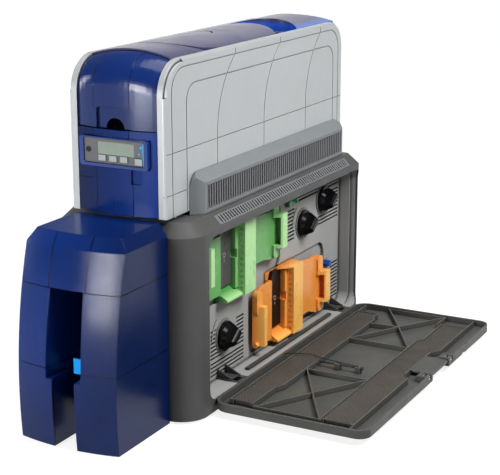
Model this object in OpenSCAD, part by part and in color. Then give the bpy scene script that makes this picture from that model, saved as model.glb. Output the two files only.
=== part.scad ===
// Card printer with a laminating base: a narrow print engine stands on a wider housing
// whose right side opens as a drop-down service door onto two film cartridges.

/* [Base housing] */
// Width of the housing
base_w = 240; // [232:1:256]
// Depth of the housing, front to back
base_d = 600; // [590:1:630]
// Height of the feet that carry the housing
foot_h = 4; // [3:0.5:6]
// Height of the vertical side walls above the table
side_top = 278; // [276:1:286]
// Rise of the sloped shoulder above the side walls
shoulder_h = 18; // [16:1:22]
// Inward run of the sloped shoulder
shoulder_in = 19; // [17:1:22]
// Plan radius of the two front corners
front_corner_r = 42; // [34:1:46]
// Plan radius of the two rear corners
rear_corner_r = 24; // [23:1:34]
// Wall thickness of the housing
wall = 3; // [2.5:0.1:3.4]
// Thickness of the bottom pan
pan_t = 4; // [3:0.5:5]
// Radius of a rubber foot
foot_r = 11; // [8:1:14]

/* [Service opening] */
// Distance from the housing front to the opening
open_front = 50; // [48:1:54]
// Distance from the opening to the back of the housing
open_back = 8; // [6:0.5:12]
// Height of the opening's sill above the table
open_sill = 22; // [21:0.5:23]
// Height of the opening
open_h = 248; // [247:1:250]
// Corner radius of the opening
open_r = 20; // [16:1:22]
// Depth of the inner panel behind the side face
bay_depth = 40; // [39:1:42]

/* [Service door] */
// Gap round the closed door
door_gap = 1; // [0.6:0.1:1.4]
// Depth of the door from its skin to its rim
door_t = 13; // [11:0.5:13]
// Thickness of the door's skin and rim
door_skin = 2.5; // [2:0.1:3]
// Thickness of the stiffening ribs
rib_t = 2; // [1.5:0.1:3]
// Distance of the hinge axis inside the side face
hinge_in = 6; // [5.5:0.5:6.5]
// Distance of the hinge axis below the sill
hinge_drop = 5; // [5:0.5:5.5]
// Radius of the hinge pins
hinge_r = 2.5; // [2:0.1:2.8]
// Width of one door knuckle
knuckle_w = 16; // [12:1:18]
// Radial clearance of every turning fit
fit_gap = 0.06; // [0.03:0.01:0.08]

/* [Print engine] */
// Width across the rims of the two side shells
engine_w = 148; // [146:1:150]
// Distance from the housing front to the engine front
engine_front = 3; // [2:1:5]
// Length of the engine
engine_len = 590; // [584:1:592]
// Height of the engine's lower edge above the table
engine_low = 303; // [302:1:306]
// Height of the engine's top edge above the table
engine_top = 523; // [518:1:530]
// Radius of the front top corner
nose_r = 50; // [46:1:52]
// Radius of the rear top corner
tail_r = 40; // [34:1:44]
// Depth of a side shell, rim to inner face
shell_d = 8; // [7.5:0.5:8]
// Outward swell of a side shell beyond its rim
shell_swell = 5; // [3:0.5:5]
// Forward swell of the blue front
front_bow = 9; // [6:1:10]
// Upward swell of the blue top
top_crown = 10; // [7:1:11]
// Thickness of the blue covers
cover_t = 2.5; // [2:0.1:2.5]
// Step of the front door below the top cover
door_lap = 3; // [3:0.1:3.4]
// Height of the seam below the front door
front_split = 426; // [425:1:430]

/* [Control panel] */
// Width of the display frame
frame_w = 112; // [110:1:116]
// Height of the display frame
frame_h = 42; // [41:1:44]
// Height of the frame's lower edge above the table
frame_low = 372; // [370:1:374]
// Width of the grey bezel
bezel_w = 99; // [98:1:101]
// Height of the grey bezel
bezel_h = 35; // [34.5:0.5:36]
// Width of the screen
lcd_w = 60; // [56:1:60]
// Height of the screen
lcd_h = 18; // [16:1:18]
// Width and height of a soft key
key_w = 12; // [10:0.5:12]
// Travel of a key
key_travel = 0.8; // [0.5:0.1:0.9]
// Radius of the round key
round_key_r = 3.6; // [3:0.1:4]

/* [Card hopper] */
// Width of the hopper
hopper_w = 162; // [158:1:164]
// Greatest reach of the hopper in front of the housing
hopper_d = 148; // [146:1:154]
// Height of the hopper's top plate above the table
hopper_top = 299.5; // [299:0.5:301]
// Height of the bevel round the hopper's top plate
hopper_bevel = 18.5; // [16:0.5:20]
// Plan radius of the hopper's front
hopper_plan_r = 328; // [300:1:380]
// Radius of the hopper's front seen from the side
hopper_side_r = 742; // [700:1:800]
// Width of the card slot
slot_w = 58; // [57:0.5:60]
// Width of the narrow part of the slot
slot_low_w = 37; // [34:1:40]
// Height of the slot's top edge above the table
slot_top = 227; // [222:1:230]
// Height at which the slot narrows
slot_step = 101; // [95:1:104]

/* [Film cartridges] */
// Distance from the housing front to the lower cartridge
lower_y = 250; // [248:1:252]
// Height of the lower cartridge's bottom edge above the table
lower_z = 31; // [30:0.5:32]
// Step from the lower to the upper cartridge along the housing
cart_step_y = 170; // [168:1:171]
// Step from the lower to the upper cartridge in height
cart_step_z = 115; // [114:1:117]
// Length of a cartridge
cart_len = 258; // [256:1:259]
// Height of a cartridge
cart_h = 117; // [114:1:117]
// Radius of a film roll
film_r = 17; // [15:0.5:17.5]
// Width of the film
film_w = 60; // [54:1:64]

/* [Knobs] */
// Radius of a knob's dish
knob_r = 23; // [20:0.5:24]
// Reach of a knob in front of the inner panel
knob_h = 25; // [20:0.5:26]
// Radius of a knob's shaft
shaft_r = 4; // [3:0.5:5]

/* [Collar] */
// Distance of the side collar's outer face inside the side walls
collar_in = 24; // [22:1:26]
// Height of the collar's outer face
collar_h = 47; // [44:1:48]
// Height of the collar's inner edge
collar_in_h = 61; // [58:1:62]
// Spacing of the slots in the collar grille
grille_pitch = 7.3; // [6:0.1:9]
// Spacing of the slots in the shoulder vents
vent_pitch = 7.6; // [6:0.1:9]

/* [Hidden] */
$fn = 64;

// Overshoot of a cut past the face it opens
eps = 1;
// Gap between a moving piece and its neighbours
free_gap = 0.5;

// Base housing
half_w = base_w / 2;
deck_z = side_top + shoulder_h;
pan_top = foot_h + pan_t;

// Service opening: low and high corners in the side face, and the inner panel
open_y0 = open_front;
open_y1 = base_d - open_back;
open_z0 = open_sill;
open_z1 = open_sill + open_h;
panel_x = half_w - bay_depth;
plate_x0 = panel_x - 7;
works_x = plate_x0 - 73;
tray_t = 2.5;

// Door, drawn open: the hinge axis, and the door's low and high corners
hinge_x = half_w - hinge_in;
hinge_z = open_sill - hinge_drop;
door_x0 = half_w + free_gap;
door_x1 = hinge_x + (open_z1 - door_gap) - hinge_z;
door_z0 = hinge_z - hinge_in;
door_z1 = door_z0 + door_t;
door_y0 = open_y0 + door_gap;
door_y1 = open_y1 - door_gap;
door_r = open_r - door_gap;
near_r = door_r + 7;
hinge_ys = [open_y0 + 106, open_y1 - 48];
lug_w = 8;
lug_gap = 0.3;
lug_r = hinge_r + 2.5;
notch_w = knuckle_w + 2 * lug_w + 4 * lug_gap;
notch_x = half_w - 20;

// Print engine
engine_y0 = engine_front;
engine_y1 = engine_front + engine_len;
rim_x = engine_w / 2;
shell_x = rim_x - shell_d;
swell_x = rim_x + shell_swell;
cover_x = shell_x - free_gap;

// Control panel
frame_x0 = -frame_w / 2;
frame_z1 = frame_low + frame_h;
bezel_x0 = frame_x0 + 7;
bezel_z0 = frame_low + 5;
bezel_y = -6;
bezel_t = 4;
bezel_y1 = bezel_y + bezel_t;
bezel_x1 = bezel_x0 + bezel_w;
bezel_z1 = bezel_z0 + bezel_h;
lcd_x0 = bezel_x0 + 22;
lcd_z0 = bezel_z0 + 12.5;

// Hopper
hopper_x = hopper_w / 2;
hopper_z0 = 1.5;
hopper_z1 = hopper_top - hopper_bevel;
hopper_yc = hopper_plan_r - hopper_d;
hopper_belly_z = 70;

// Places of the three knobs and the two levers: distance from the front, height
knob_front = [lower_y - 86, 85];
knob_middle = [439, 199];
knob_rear = [518, 224];
lever_green = [379, open_z1 - 24];
lever_blue = [lower_y + cart_len + 28, 105];

// Whole part: the middle of its floor area, door open
mid_x = (door_x1 - half_w) / 2;
mid_y = (base_d - hopper_d) / 2;

// ---------- drawing helpers ----------

module place() {
    translate([-mid_x, -mid_y, 0]) children();
}

// Moves a drawing out to the right side wall
module at_side() {
    translate([half_w, 0, 0]) children();
}

// Moves a drawing to the frame of the works behind the inner panel
module at_works() {
    translate([works_x, 0, 0]) children();
}

// Box from its low corner to its high corner
module block(low, high) {
    translate(low) cube(high - low);
}

// Outline in (Y, Z) carried along X
module along_x(x0, x1) {
    translate([x0, 0, 0]) rotate([90, 0, 90]) linear_extrude(x1 - x0) children();
}

// Outline in (X, Z) carried along Y
module along_y(y0, y1) {
    translate([0, y1, 0]) rotate([90, 0, 0]) linear_extrude(y1 - y0) children();
}

module rod_x(x0, x1, y, z, r) {
    translate([x0, y, z]) rotate([0, 90, 0]) cylinder(h = x1 - x0, r = r);
}

module rod_y(y0, y1, x, z, r) {
    translate([x, y0, z]) rotate([-90, 0, 0]) cylinder(h = y1 - y0, r = r);
}

// Rectangle with four round corners
module round_rect(u0, v0, u1, v1, r) {
    translate([u0 + r, v0]) square([u1 - u0 - 2 * r, v1 - v0]);
    translate([u0, v0 + r]) square([u1 - u0, v1 - v0 - 2 * r]);
    for (u = [u0 + r, u1 - r], v = [v0 + r, v1 - r]) translate([u, v]) circle(r);
}

// Side outline with square feet and round top corners: r0 at the front, r1 at the rear
module arch(u0, u1, v0, v1, r0, r1) {
    translate([u0, v0]) square([u1 - u0, v1 - max(r0, r1) - v0]);
    translate([u0 + r0, v0]) square([u1 - u0 - r0 - r1, v1 - v0]);
    translate([u0, v0]) square([u1 - r1 - u0, v1 - r0 - v0]);
    translate([u0 + r0, v0]) square([u1 - u0 - r0, v1 - r1 - v0]);
    translate([u0 + r0, v1 - r0]) circle(r0);
    translate([u1 - r1, v1 - r1]) circle(r1);
}

module both_sides() {
    children();
    mirror([1, 0, 0]) children();
}

// ---------- housing ----------

// Plan outline of the housing, drawn in by inset
module housing_plan(inset) {
    w = half_w - inset;
    rf = front_corner_r - inset;
    rr = rear_corner_r - inset;
    y0 = inset;
    y1 = base_d - inset;
    translate([-w, y0 + rf]) square([2 * w, y1 - rr - y0 - rf]);
    translate([-w + rf, y0]) square([2 * (w - rf), y1 - y0]);
    translate([-w + rr, y0 + rf]) square([2 * (w - rr), y1 - y0 - rf]);
    for (s = [-1, 1]) {
        translate([s * (w - rf), y0 + rf]) circle(rf);
        translate([s * (w - rr), y1 - rr]) circle(rr);
    }
}

// Sloped shoulder between two heights, running in by run all round
module shoulder_form(inset, z0, z1, run) {
    w = half_w - inset;
    rf = front_corner_r - inset;
    rr = rear_corner_r - inset;
    y0 = inset;
    y1 = base_d - inset;
    along_y(y0 + rf, y1 - rr) polygon([[-w, z0], [w, z0], [w - run, z1], [run - w, z1]]);
    along_x(rf - w, w - rf) polygon([[y0, z0], [y1, z0], [y1 - run, z1], [y0 + run, z1]]);
    along_x(rr - w, w - rr) polygon([[y0 + rf, z0], [y1, z0], [y1 - run, z1], [y0 + rf, z1]]);
    for (s = [-1, 1]) {
        translate([s * (w - rf), y0 + rf, z0]) cylinder(h = z1 - z0, r1 = rf, r2 = rf - run);
        translate([s * (w - rr), y1 - rr, z0]) cylinder(h = z1 - z0, r1 = rr, r2 = rr - run);
    }
}

// Puts a drawing on the right shoulder: X runs down the slope, Z stands off it
slope_a = atan(shoulder_h / shoulder_in);
slope_len = sqrt(pow(shoulder_h, 2) + pow(shoulder_in, 2));
vent_w = 16;
vent_y0 = 92;
vent_y1 = 550;
module on_slope() {
    translate([half_w - shoulder_in / 2, 0, side_top + shoulder_h / 2]) rotate([0, slope_a, 0]) children();
}

// Notches for the door's knuckles and their brackets
module hinge_notches(x0) {
    for (y = hinge_ys)
        block([x0, y - notch_w / 2, door_z0 - 1.5], [half_w + eps, y + notch_w / 2, open_sill + eps]);
}

rear_cut = [-85, 60, 85, 236, 10];
module base_housing() {
    color("#6f7072") place() difference() {
        union() {
            translate([0, 0, foot_h]) linear_extrude(side_top - foot_h) housing_plan(0);
            shoulder_form(0, side_top, deck_z, shoulder_in);
        }
        translate([0, 0, foot_h - eps]) linear_extrude(side_top - foot_h) housing_plan(wall);
        shoulder_form(wall, side_top - eps - 0.01, deck_z - wall, shoulder_in);
        along_x(half_w - door_t - 2, half_w + eps)
            round_rect(open_y0, open_z0, open_y1, open_z1, open_r);
        hinge_notches(half_w - wall - eps);
        along_y(base_d - wall - eps, base_d + eps)
            round_rect(rear_cut[0], rear_cut[1], rear_cut[2], rear_cut[3], rear_cut[4]);
        both_sides() on_slope() block([-vent_w / 2, vent_y0, -4.5], [vent_w / 2, vent_y1, 3]);
    }
}

module base_pan() {
    color("#3a3b3d") place() translate([0, 0, foot_h]) linear_extrude(pan_t) housing_plan(wall + 0.2);
}

module rubber_feet() {
    color("#202020") place() for (x = [-1, 1] * (half_w - 40), y = [50, base_d / 2, base_d - 50])
        translate([x, y, 0]) cylinder(h = foot_h, r1 = foot_r - 1.5, r2 = foot_r);
}

module vent_strip() {
    pitch = vent_pitch;
    n = floor((vent_y1 - vent_y0 - 8) / pitch);
    first = (vent_y0 + vent_y1 - (n - 1) * pitch) / 2;
    color("#5c5d5f") on_slope() difference() {
        block([-vent_w / 2, vent_y0, -3], [vent_w / 2, vent_y1, 0]);
        for (i = [0 : n - 1])
            translate([-vent_w / 2 + 1.8, first + i * pitch - 1.6, -3 - eps])
                cube([vent_w - 3.6, 3.2, 3 + 2 * eps]);
    }
}

module right_vent_strip() place() vent_strip();
module left_vent_strip() place() mirror([1, 0, 0]) vent_strip();

// ---------- collar round the print engine ----------

collar_y0 = 66;
collar_y1 = 578;
collar_x = half_w - collar_in;
collar_in_x = swell_x + 0.3;
grille_y0 = 87;
grille_y1 = 556;
grille_low = 6;
grille_h = 36;
grille_d = 6;
module collar() {
    x0 = collar_in_x;
    x1 = collar_x;
    z0 = deck_z + grille_low;
    end_run = 16;
    color("#85888b") difference() {
        intersection() {
            along_y(collar_y0, collar_y1)
                polygon([[x0, deck_z], [x1, deck_z], [x1, deck_z + collar_h], [x0, deck_z + collar_in_h]]);
            translate([0, 0, deck_z]) linear_extrude(collar_in_h) polygon([
                [x0, collar_y0], [x1, collar_y0 + end_run], [x1, collar_y1 - end_run], [x0, collar_y1]
            ]);
            along_x(x0, x1) arch(collar_y0, collar_y1, deck_z, deck_z + collar_in_h, 24, 24);
        }
        block([x1 - grille_d, grille_y0, z0], [x1 + eps, grille_y1, z0 + grille_h]);
    }
}

module right_collar() place() collar();
module left_collar() place() mirror([1, 0, 0]) collar();

module grille() {
    n = floor((grille_y1 - grille_y0 - 6) / grille_pitch);
    first = (grille_y0 + grille_y1 - (n - 1) * grille_pitch) / 2;
    z0 = deck_z + grille_low;
    color("#55575a") difference() {
        block([collar_x - grille_d, grille_y0, z0], [collar_x - 1, grille_y1, z0 + grille_h]);
        for (i = [0 : n - 1])
            translate([collar_x - grille_d + 1.5, first + i * grille_pitch - 1.9, z0 + 1.5])
                cube([grille_d, 3.8, grille_h - 3]);
    }
}

module right_grille() place() grille();
module left_grille() place() mirror([1, 0, 0]) grille();

// ---------- rear of the housing ----------

fan_x = -48;
fan_z = 185;
fan_r = 26;
fan_d = 20;
inlet = [-58, 84, -30, 108];
module rear_panel() {
    y0 = base_d - wall;
    color("#4a4b4d") place() difference() {
        along_y(y0, base_d) round_rect(rear_cut[0], rear_cut[1], rear_cut[2], rear_cut[3], rear_cut[4]);
        for (i = [-3 : 3]) {
            z = fan_z + i * 7;
            half = sqrt(pow(fan_r, 2) - pow(i * 7, 2)) - 1;
            along_y(y0 - eps, base_d + eps) round_rect(fan_x - half, z - 2, fan_x + half, z + 2, 1.9);
        }
        block([inlet[0], y0 - eps, inlet[1]], [inlet[2], base_d + eps, inlet[3]]);
        for (i = [0 : 9])
            along_y(y0 - eps, base_d + eps) round_rect(14, 132 + i * 8, 70, 136 + i * 8, 1.9);
    }
}

// Appliance inlet: a snap-in socket with three flat pins
module power_inlet() {
    color("#1c1c1e") place() {
        difference() {
            union() {
                block([inlet[0], base_d - 22, inlet[1]], [inlet[2], base_d, inlet[3]]);
            }
            along_y(base_d - 18, base_d + eps) polygon([
                [inlet[0] + 3, inlet[1] + 3], [inlet[2] - 3, inlet[1] + 3], [inlet[2] - 3, inlet[3] - 8],
                [inlet[2] - 8, inlet[3] - 3], [inlet[0] + 8, inlet[3] - 3], [inlet[0] + 3, inlet[3] - 8]
            ]);
        }
        for (p = [[-7, -2], [0, 4], [7, -2]]) translate([p[0], 0, p[1]])
            translate([(inlet[0] + inlet[2]) / 2 - 1, base_d - 19, (inlet[1] + inlet[3]) / 2 - 2])
                cube([2, 14, 4]);
    }
}

module fan_frame() {
    y1 = base_d - wall;
    y0 = y1 - fan_d;
    color("#2b2c2e") place() difference() {
        union() {
            difference() {
                along_y(y0, y1) round_rect(fan_x - 30, fan_z - 30, fan_x + 30, fan_z + 30, 4);
                rod_y(y0 - eps, y1 + eps, fan_x, fan_z, fan_r + 1.5);
            }
            for (a = [0 : 90 : 270])
                translate([fan_x, 0, fan_z]) rotate([0, a + 45, 0])
                    block([8, y0, -2], [fan_r + 3, y0 + 3, 2]);
            rod_y(y0, y0 + 3, fan_x, fan_z, 10);
            rod_y(y0, y1 - 6.2, fan_x, fan_z, 3);
        }
    }
}

module fan_rotor() {
    y1 = base_d - wall - 3;
    y0 = y1 - fan_d + 7.5;
    color("#36383a") place() difference() {
        union() {
            rod_y(y0, y1, fan_x, fan_z, 10);
            for (i = [0 : 6])
                translate([fan_x, (y0 + y1) / 2, fan_z]) rotate([0, i * 360 / 7, 0]) rotate([35, 0, 0])
                    translate([8, -6, -0.8]) cube([fan_r - 9.5, 12, 1.6]);
        }
        rod_y(y0 - eps, y1 - 3 + fit_gap, fan_x, fan_z, 3 + fit_gap);
    }
}

// ---------- service bay ----------

pocket_x = panel_x - 5;
pocket_r = 22;
louvre_pitch = 6.2;
louvre_h = 3;
boss_r = knob_r + 3;
cart_pockets = [
    [lower_y - 6, lower_z - 5, lower_z + cart_h + 1.5],
    [lower_y - cart_step_y - 6, lower_z + cart_step_z - 3, lower_z + cart_step_z + cart_h + 1.5]
];
film_u = [40, 180];
film_w_mid = 59;

// Rows of cooling slots in (Y, Z)
module louvres(y0, y1, z0, z1) {
    n = floor((z1 - z0 + louvre_pitch - louvre_h) / louvre_pitch);
    for (i = [0 : n - 1]) translate([y0, z0 + i * louvre_pitch]) square([y1 - y0, louvre_h]);
}

module all_louvres() {
    difference() {
        union() {
            louvres(122, 154, 56, 104);
            louvres(122, 228, 29, 53);
            louvres(204, 228, 56, 104);
            louvres(374, 408, 180, 236);
            louvres(412, 582, 240, 250);
            louvres(500, 582, 181, 236);
            louvres(553, 584, 35, 104);
        }
        for (k = [knob_front, knob_middle, knob_rear]) translate(k) circle(boss_r + 2);
        translate(lever_green) circle(9);
    }
}

module film_windows() {
    for (c = [[lower_y, lower_z], [lower_y - cart_step_y, lower_z + cart_step_z]], u = film_u)
        translate([c[0] + u, c[1] + film_w_mid]) circle(film_r + 3);
}

module service_panel() {
    t = tray_t;
    color("#707173") place() difference() {
        union() {
            difference() {
                intersection() {
                    along_x(plate_x0, half_w)
                        round_rect(open_y0 - t, open_z0 - t, open_y1 + t, open_z1 + t, open_r + t);
                    translate([0, 0, open_z0 - 2 * t]) linear_extrude(open_h + 4 * t)
                        housing_plan(wall + 0.1);
                }
                along_x(panel_x, panel_x + 21) round_rect(open_y0, open_z0, open_y1 - 4, open_z1, open_r);
                along_x(panel_x + 20, half_w) round_rect(open_y0, open_z0, open_y1, open_z1, open_r);
                along_x(plate_x0 - eps, panel_x + eps) all_louvres();
                for (p = cart_pockets)
                    along_x(pocket_x, panel_x + eps)
                        round_rect(p[0], p[1], p[0] + cart_len + 24, p[2], pocket_r);
                along_x(plate_x0 - eps, pocket_x + eps) film_windows();
            }
            for (k = [knob_front, knob_middle, knob_rear]) rod_x(plate_x0, panel_x + 1.5, k[0], k[1], boss_r);
            for (k = [knob_front, knob_middle]) ring_mark(k);
            rod_x(plate_x0, panel_x + 2, lever_green[0], lever_green[1], 6);
            rod_x(plate_x0, panel_x + 2, lever_blue[0], lever_blue[1], 6);
        }
        for (k = [knob_front, knob_middle, knob_rear])
            rod_x(plate_x0 - eps, panel_x + 3, k[0], k[1], shaft_r + fit_gap);
        for (v = [lever_green, lever_blue]) rod_x(plate_x0 - eps, panel_x + 3, v[0], v[1], 3 + fit_gap);
        hinge_notches(notch_x);
    }
}

// Raised arc of a turning mark round a knob
module ring_mark(k) {
    along_x(panel_x - 0.5, panel_x + 1) translate(k) difference() {
        circle(knob_r + 16);
        circle(knob_r + 13);
        translate([-60, -60]) square([120, 60]);
        rotate(35) translate([0, -60]) square([60, 120]);
    }
}

module hinge_brackets() {
    x0 = panel_x + 0.1;
    x1 = half_w - 16;
    lug_x = notch_x + 0.3;
    color("#55565a") place() {
        for (y = hinge_ys) {
            difference() {
                union() {
                    for (s = [-1, 1]) {
                        ya = y + s * (knuckle_w / 2 + lug_gap + lug_w / 2) - lug_w / 2;
                        along_y(ya, ya + lug_w) {
                            translate([hinge_x, hinge_z]) circle(lug_r);
                            polygon([
                                [lug_x, open_sill], [hinge_x, open_sill], [hinge_x, hinge_z - lug_r],
                                [hinge_x - 6, hinge_z - lug_r], [lug_x, hinge_z - 1]
                            ]);
                        }
                        along_y(ya + lug_w / 2 - 1.5, ya + lug_w / 2 + 1.5) polygon([
                            [x0, open_sill], [x1, open_sill], [x1, open_sill + 3], [x0, open_sill + 15]
                        ]);
                    }
                    block([x0, y - notch_w / 2, open_sill], [x1, y + notch_w / 2, open_sill + 2]);
                }
                rod_y(y - notch_w, y + notch_w, hinge_x, hinge_z, hinge_r);
            }
        }
        block([notch_x, hinge_ys[0] + 40, open_sill], [notch_x + 6, hinge_ys[1] - 40, open_sill + 3.5]);
    }
}

module hinge_pins() {
    pin_l = knuckle_w + 2 * (lug_w + lug_gap);
    color("#a9acb0") place() for (y = hinge_ys)
        rod_y(y - pin_l / 2, y + pin_l / 2, hinge_x, hinge_z, hinge_r);
}

// ---------- service door, drawn open ----------

// Sunken pad between the hinge side and the cells, drawn in by i
module pad_a(i, t) {
    at_side() linear_extrude(t) polygon([
        [17 + i, 78 + i], [56 - i, 78 + i], [56 - i, 150 - i], [63 - i, 166 - i], [63 - i, 516],
        [57 - i, 524], [57 - i, 548 - i], [17 + i, 548 - i]
    ]);
}

// Sunken pad on the outer side of the cells, drawn in by i
module pad_b(i, t) {
    at_side() linear_extrude(t) polygon([
        [166 + i, 71 + i], [219 - i, 71 + i], [219 - i, 276 + i], [208 - i, 292 + i], [208 - i, 404 - i],
        [219 - i, 420 - i], [219 - i, 548 - i], [174 + i, 548 - i], [174 + i, 456 + i], [166 + i, 444 + i]
    ]);
}

// Rib between two points of the plan
module rib(a, b) {
    d = b - a;
    len = sqrt(pow(d[0], 2) + pow(d[1], 2));
    translate(a) rotate(atan2(d[1], d[0])) translate([-1.1, -rib_t / 2]) square([len + 2.2, rib_t]);
}

// Cells of the door's inner side: two braced ones at the ends and a plain one between
cells = [[70, 246, 158], [410, 584, 501]];
module door_ribs() {
    for (c = cells) {
        for (x = [63, 166], y = [c[0], c[1]]) rib([114, c[2]], [x, y]);
        rib([61, c[0]], [168, c[0]]);
        rib([61, c[1]], [168, c[1]]);
    }
    rib([61, 496], [112, 501]);
    rib([18, 546], [18, door_y1 - 1.4]);
    rib([167, 546], [167, door_y1 - 1.4]);
    rib([218, door_y0 + 1.4], [218, 74]);
    rib([218, 545], [218, door_y1 - 1.4]);
}

latch_ys = [290, 386];
latch_w = 22;
grip_y0 = 313;
grip_y1 = 385;
tool_y = 285;
tool_z = door_z1 - 2.5;
// Door plan set in by d; its corners next to the hinges are rounder, to clear the opening's
module door_plan(d) {
    x_in = door_x0 + near_r;
    x_out = door_x1 - door_r;
    translate([x_in, door_y0 + d]) square([x_out - x_in, door_y1 - door_y0 - 2 * d]);
    translate([door_x0 + d, door_y0 + near_r])
        square([x_out - door_x0 - d, door_y1 - door_y0 - 2 * near_r]);
    translate([x_in, door_y0 + door_r])
        square([door_x1 - d - x_in, door_y1 - door_y0 - 2 * door_r]);
    for (y = [door_y0 + near_r, door_y1 - near_r]) translate([x_in, y]) circle(near_r - d);
    for (y = [door_y0 + door_r, door_y1 - door_r]) translate([x_out, y]) circle(door_r - d);
}

module door_tray() {
    difference() {
        translate([0, 0, door_z0]) linear_extrude(door_t) door_plan(0);
        translate([0, 0, door_z0 + door_skin]) linear_extrude(door_t) door_plan(3);
    }
}

module service_door() {
    skin_z = door_z0 + door_skin;
    pad_z = door_z1 - 3.2;
    catch_x = door_x1 - 12;
    color("#4b4a48") place() difference() {
        union() {
            difference() {
                union() {
                    door_tray();
                    translate([0, 0, skin_z - 0.5]) pad_a(0, door_t - 3.5);
                    translate([0, 0, skin_z - 0.5]) pad_b(0, door_t - 3.5);
                    at_side() translate([0, 0, door_z0 + 1]) linear_extrude(door_t - 3) door_ribs();
                    for (y = latch_ys)
                        block([door_x1 - 18, y, door_z0 + 1], [door_x1 - 0.5, y + latch_w, door_z1]);
                    at_side() for (x = [98, 133])
                        block([x - 4, tool_y - 5, door_z0 + 1], [x + 4, tool_y + 5, door_z1 - 0.2]);
                }
                translate([0, 0, pad_z]) pad_a(rib_t, door_t);
                translate([0, 0, pad_z]) pad_b(rib_t, door_t);
                at_side() {
                    block([23, 70, skin_z - 0.1], [50, 82, door_z1]);
                    block([172, 64, skin_z - 0.1], [213, 75, door_z1]);
                    rod_x(60, 146, tool_y, tool_z, 1.5);
                }
                block([door_x1 - 9, grip_y0, door_z0 - eps], [door_x1 + eps, grip_y1, door_z1 + eps]);
                rod_y(door_y0 - eps, door_y1 + eps, hinge_x, hinge_z, half_w - hinge_x + 2.1);
                for (y = latch_ys)
                    block([catch_x, y + 5, door_z0 + 5], [door_x1 + eps, y + 17, door_z1 + eps]);
                block([door_x1 - 1.5, 448, door_z0 - eps], [door_x1 + eps, 462, door_z0 + 3]);
            }
            translate([0, 0, door_z1 - 5]) linear_extrude(3)
                round_rect(half_w + 206, grip_y0 + 0.5, door_x1 - 0.5, grip_y1 - 0.5, 7);
            for (y = hinge_ys) translate([0, y - knuckle_w / 2, 0]) {
                rod_y(0, knuckle_w, hinge_x, hinge_z, lug_r);
                block([hinge_x, 0, hinge_z - lug_r], [door_x0 + 4, knuckle_w, hinge_z - 1]);
            }
        }
        for (y = hinge_ys) rod_y(y - knuckle_w, y + knuckle_w, hinge_x, hinge_z, hinge_r + fit_gap);
    }
}

// Two spring catches in the door's outer rim
module door_catches() {
    x0 = door_x1 - 12;
    color("#8d8f92") place() for (y = latch_ys) translate([0, y + 5, 0]) {
        block([x0, 0.1, door_z0 + 5], [x0 + 3, 11.9, door_z1 - 1]);
        block([x0 + 3, 0.1, door_z0 + 5], [door_x1 - 1, 11.9, door_z0 + 8]);
        rod_y(0.1, 11.9, door_x1 - 4, door_z0 + 10, 2.6);
    }
}

// Rod that carries a cleaning sleeve
module cleaning_rod() {
    color("#2a2a2b") place() at_side() {
        rod_x(67, 141, tool_y, tool_z, 1.5);
        for (x = [67, 137]) rod_x(x, x + 4, tool_y, tool_z, 2.4);
    }
}

// ---------- film cartridges: local Y and Z from the lower front corner ----------

cart_x0 = pocket_x + 0.3;
cart_x1 = panel_x + 24;
cart_mid = cart_x0 + 8.7;
plate_t = 4;
bar_u = [109, 144];

module at_orange() translate([0, lower_y, lower_z]) children();
module at_green() translate([0, lower_y - cart_step_y, lower_z + cart_step_z]) children();

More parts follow.
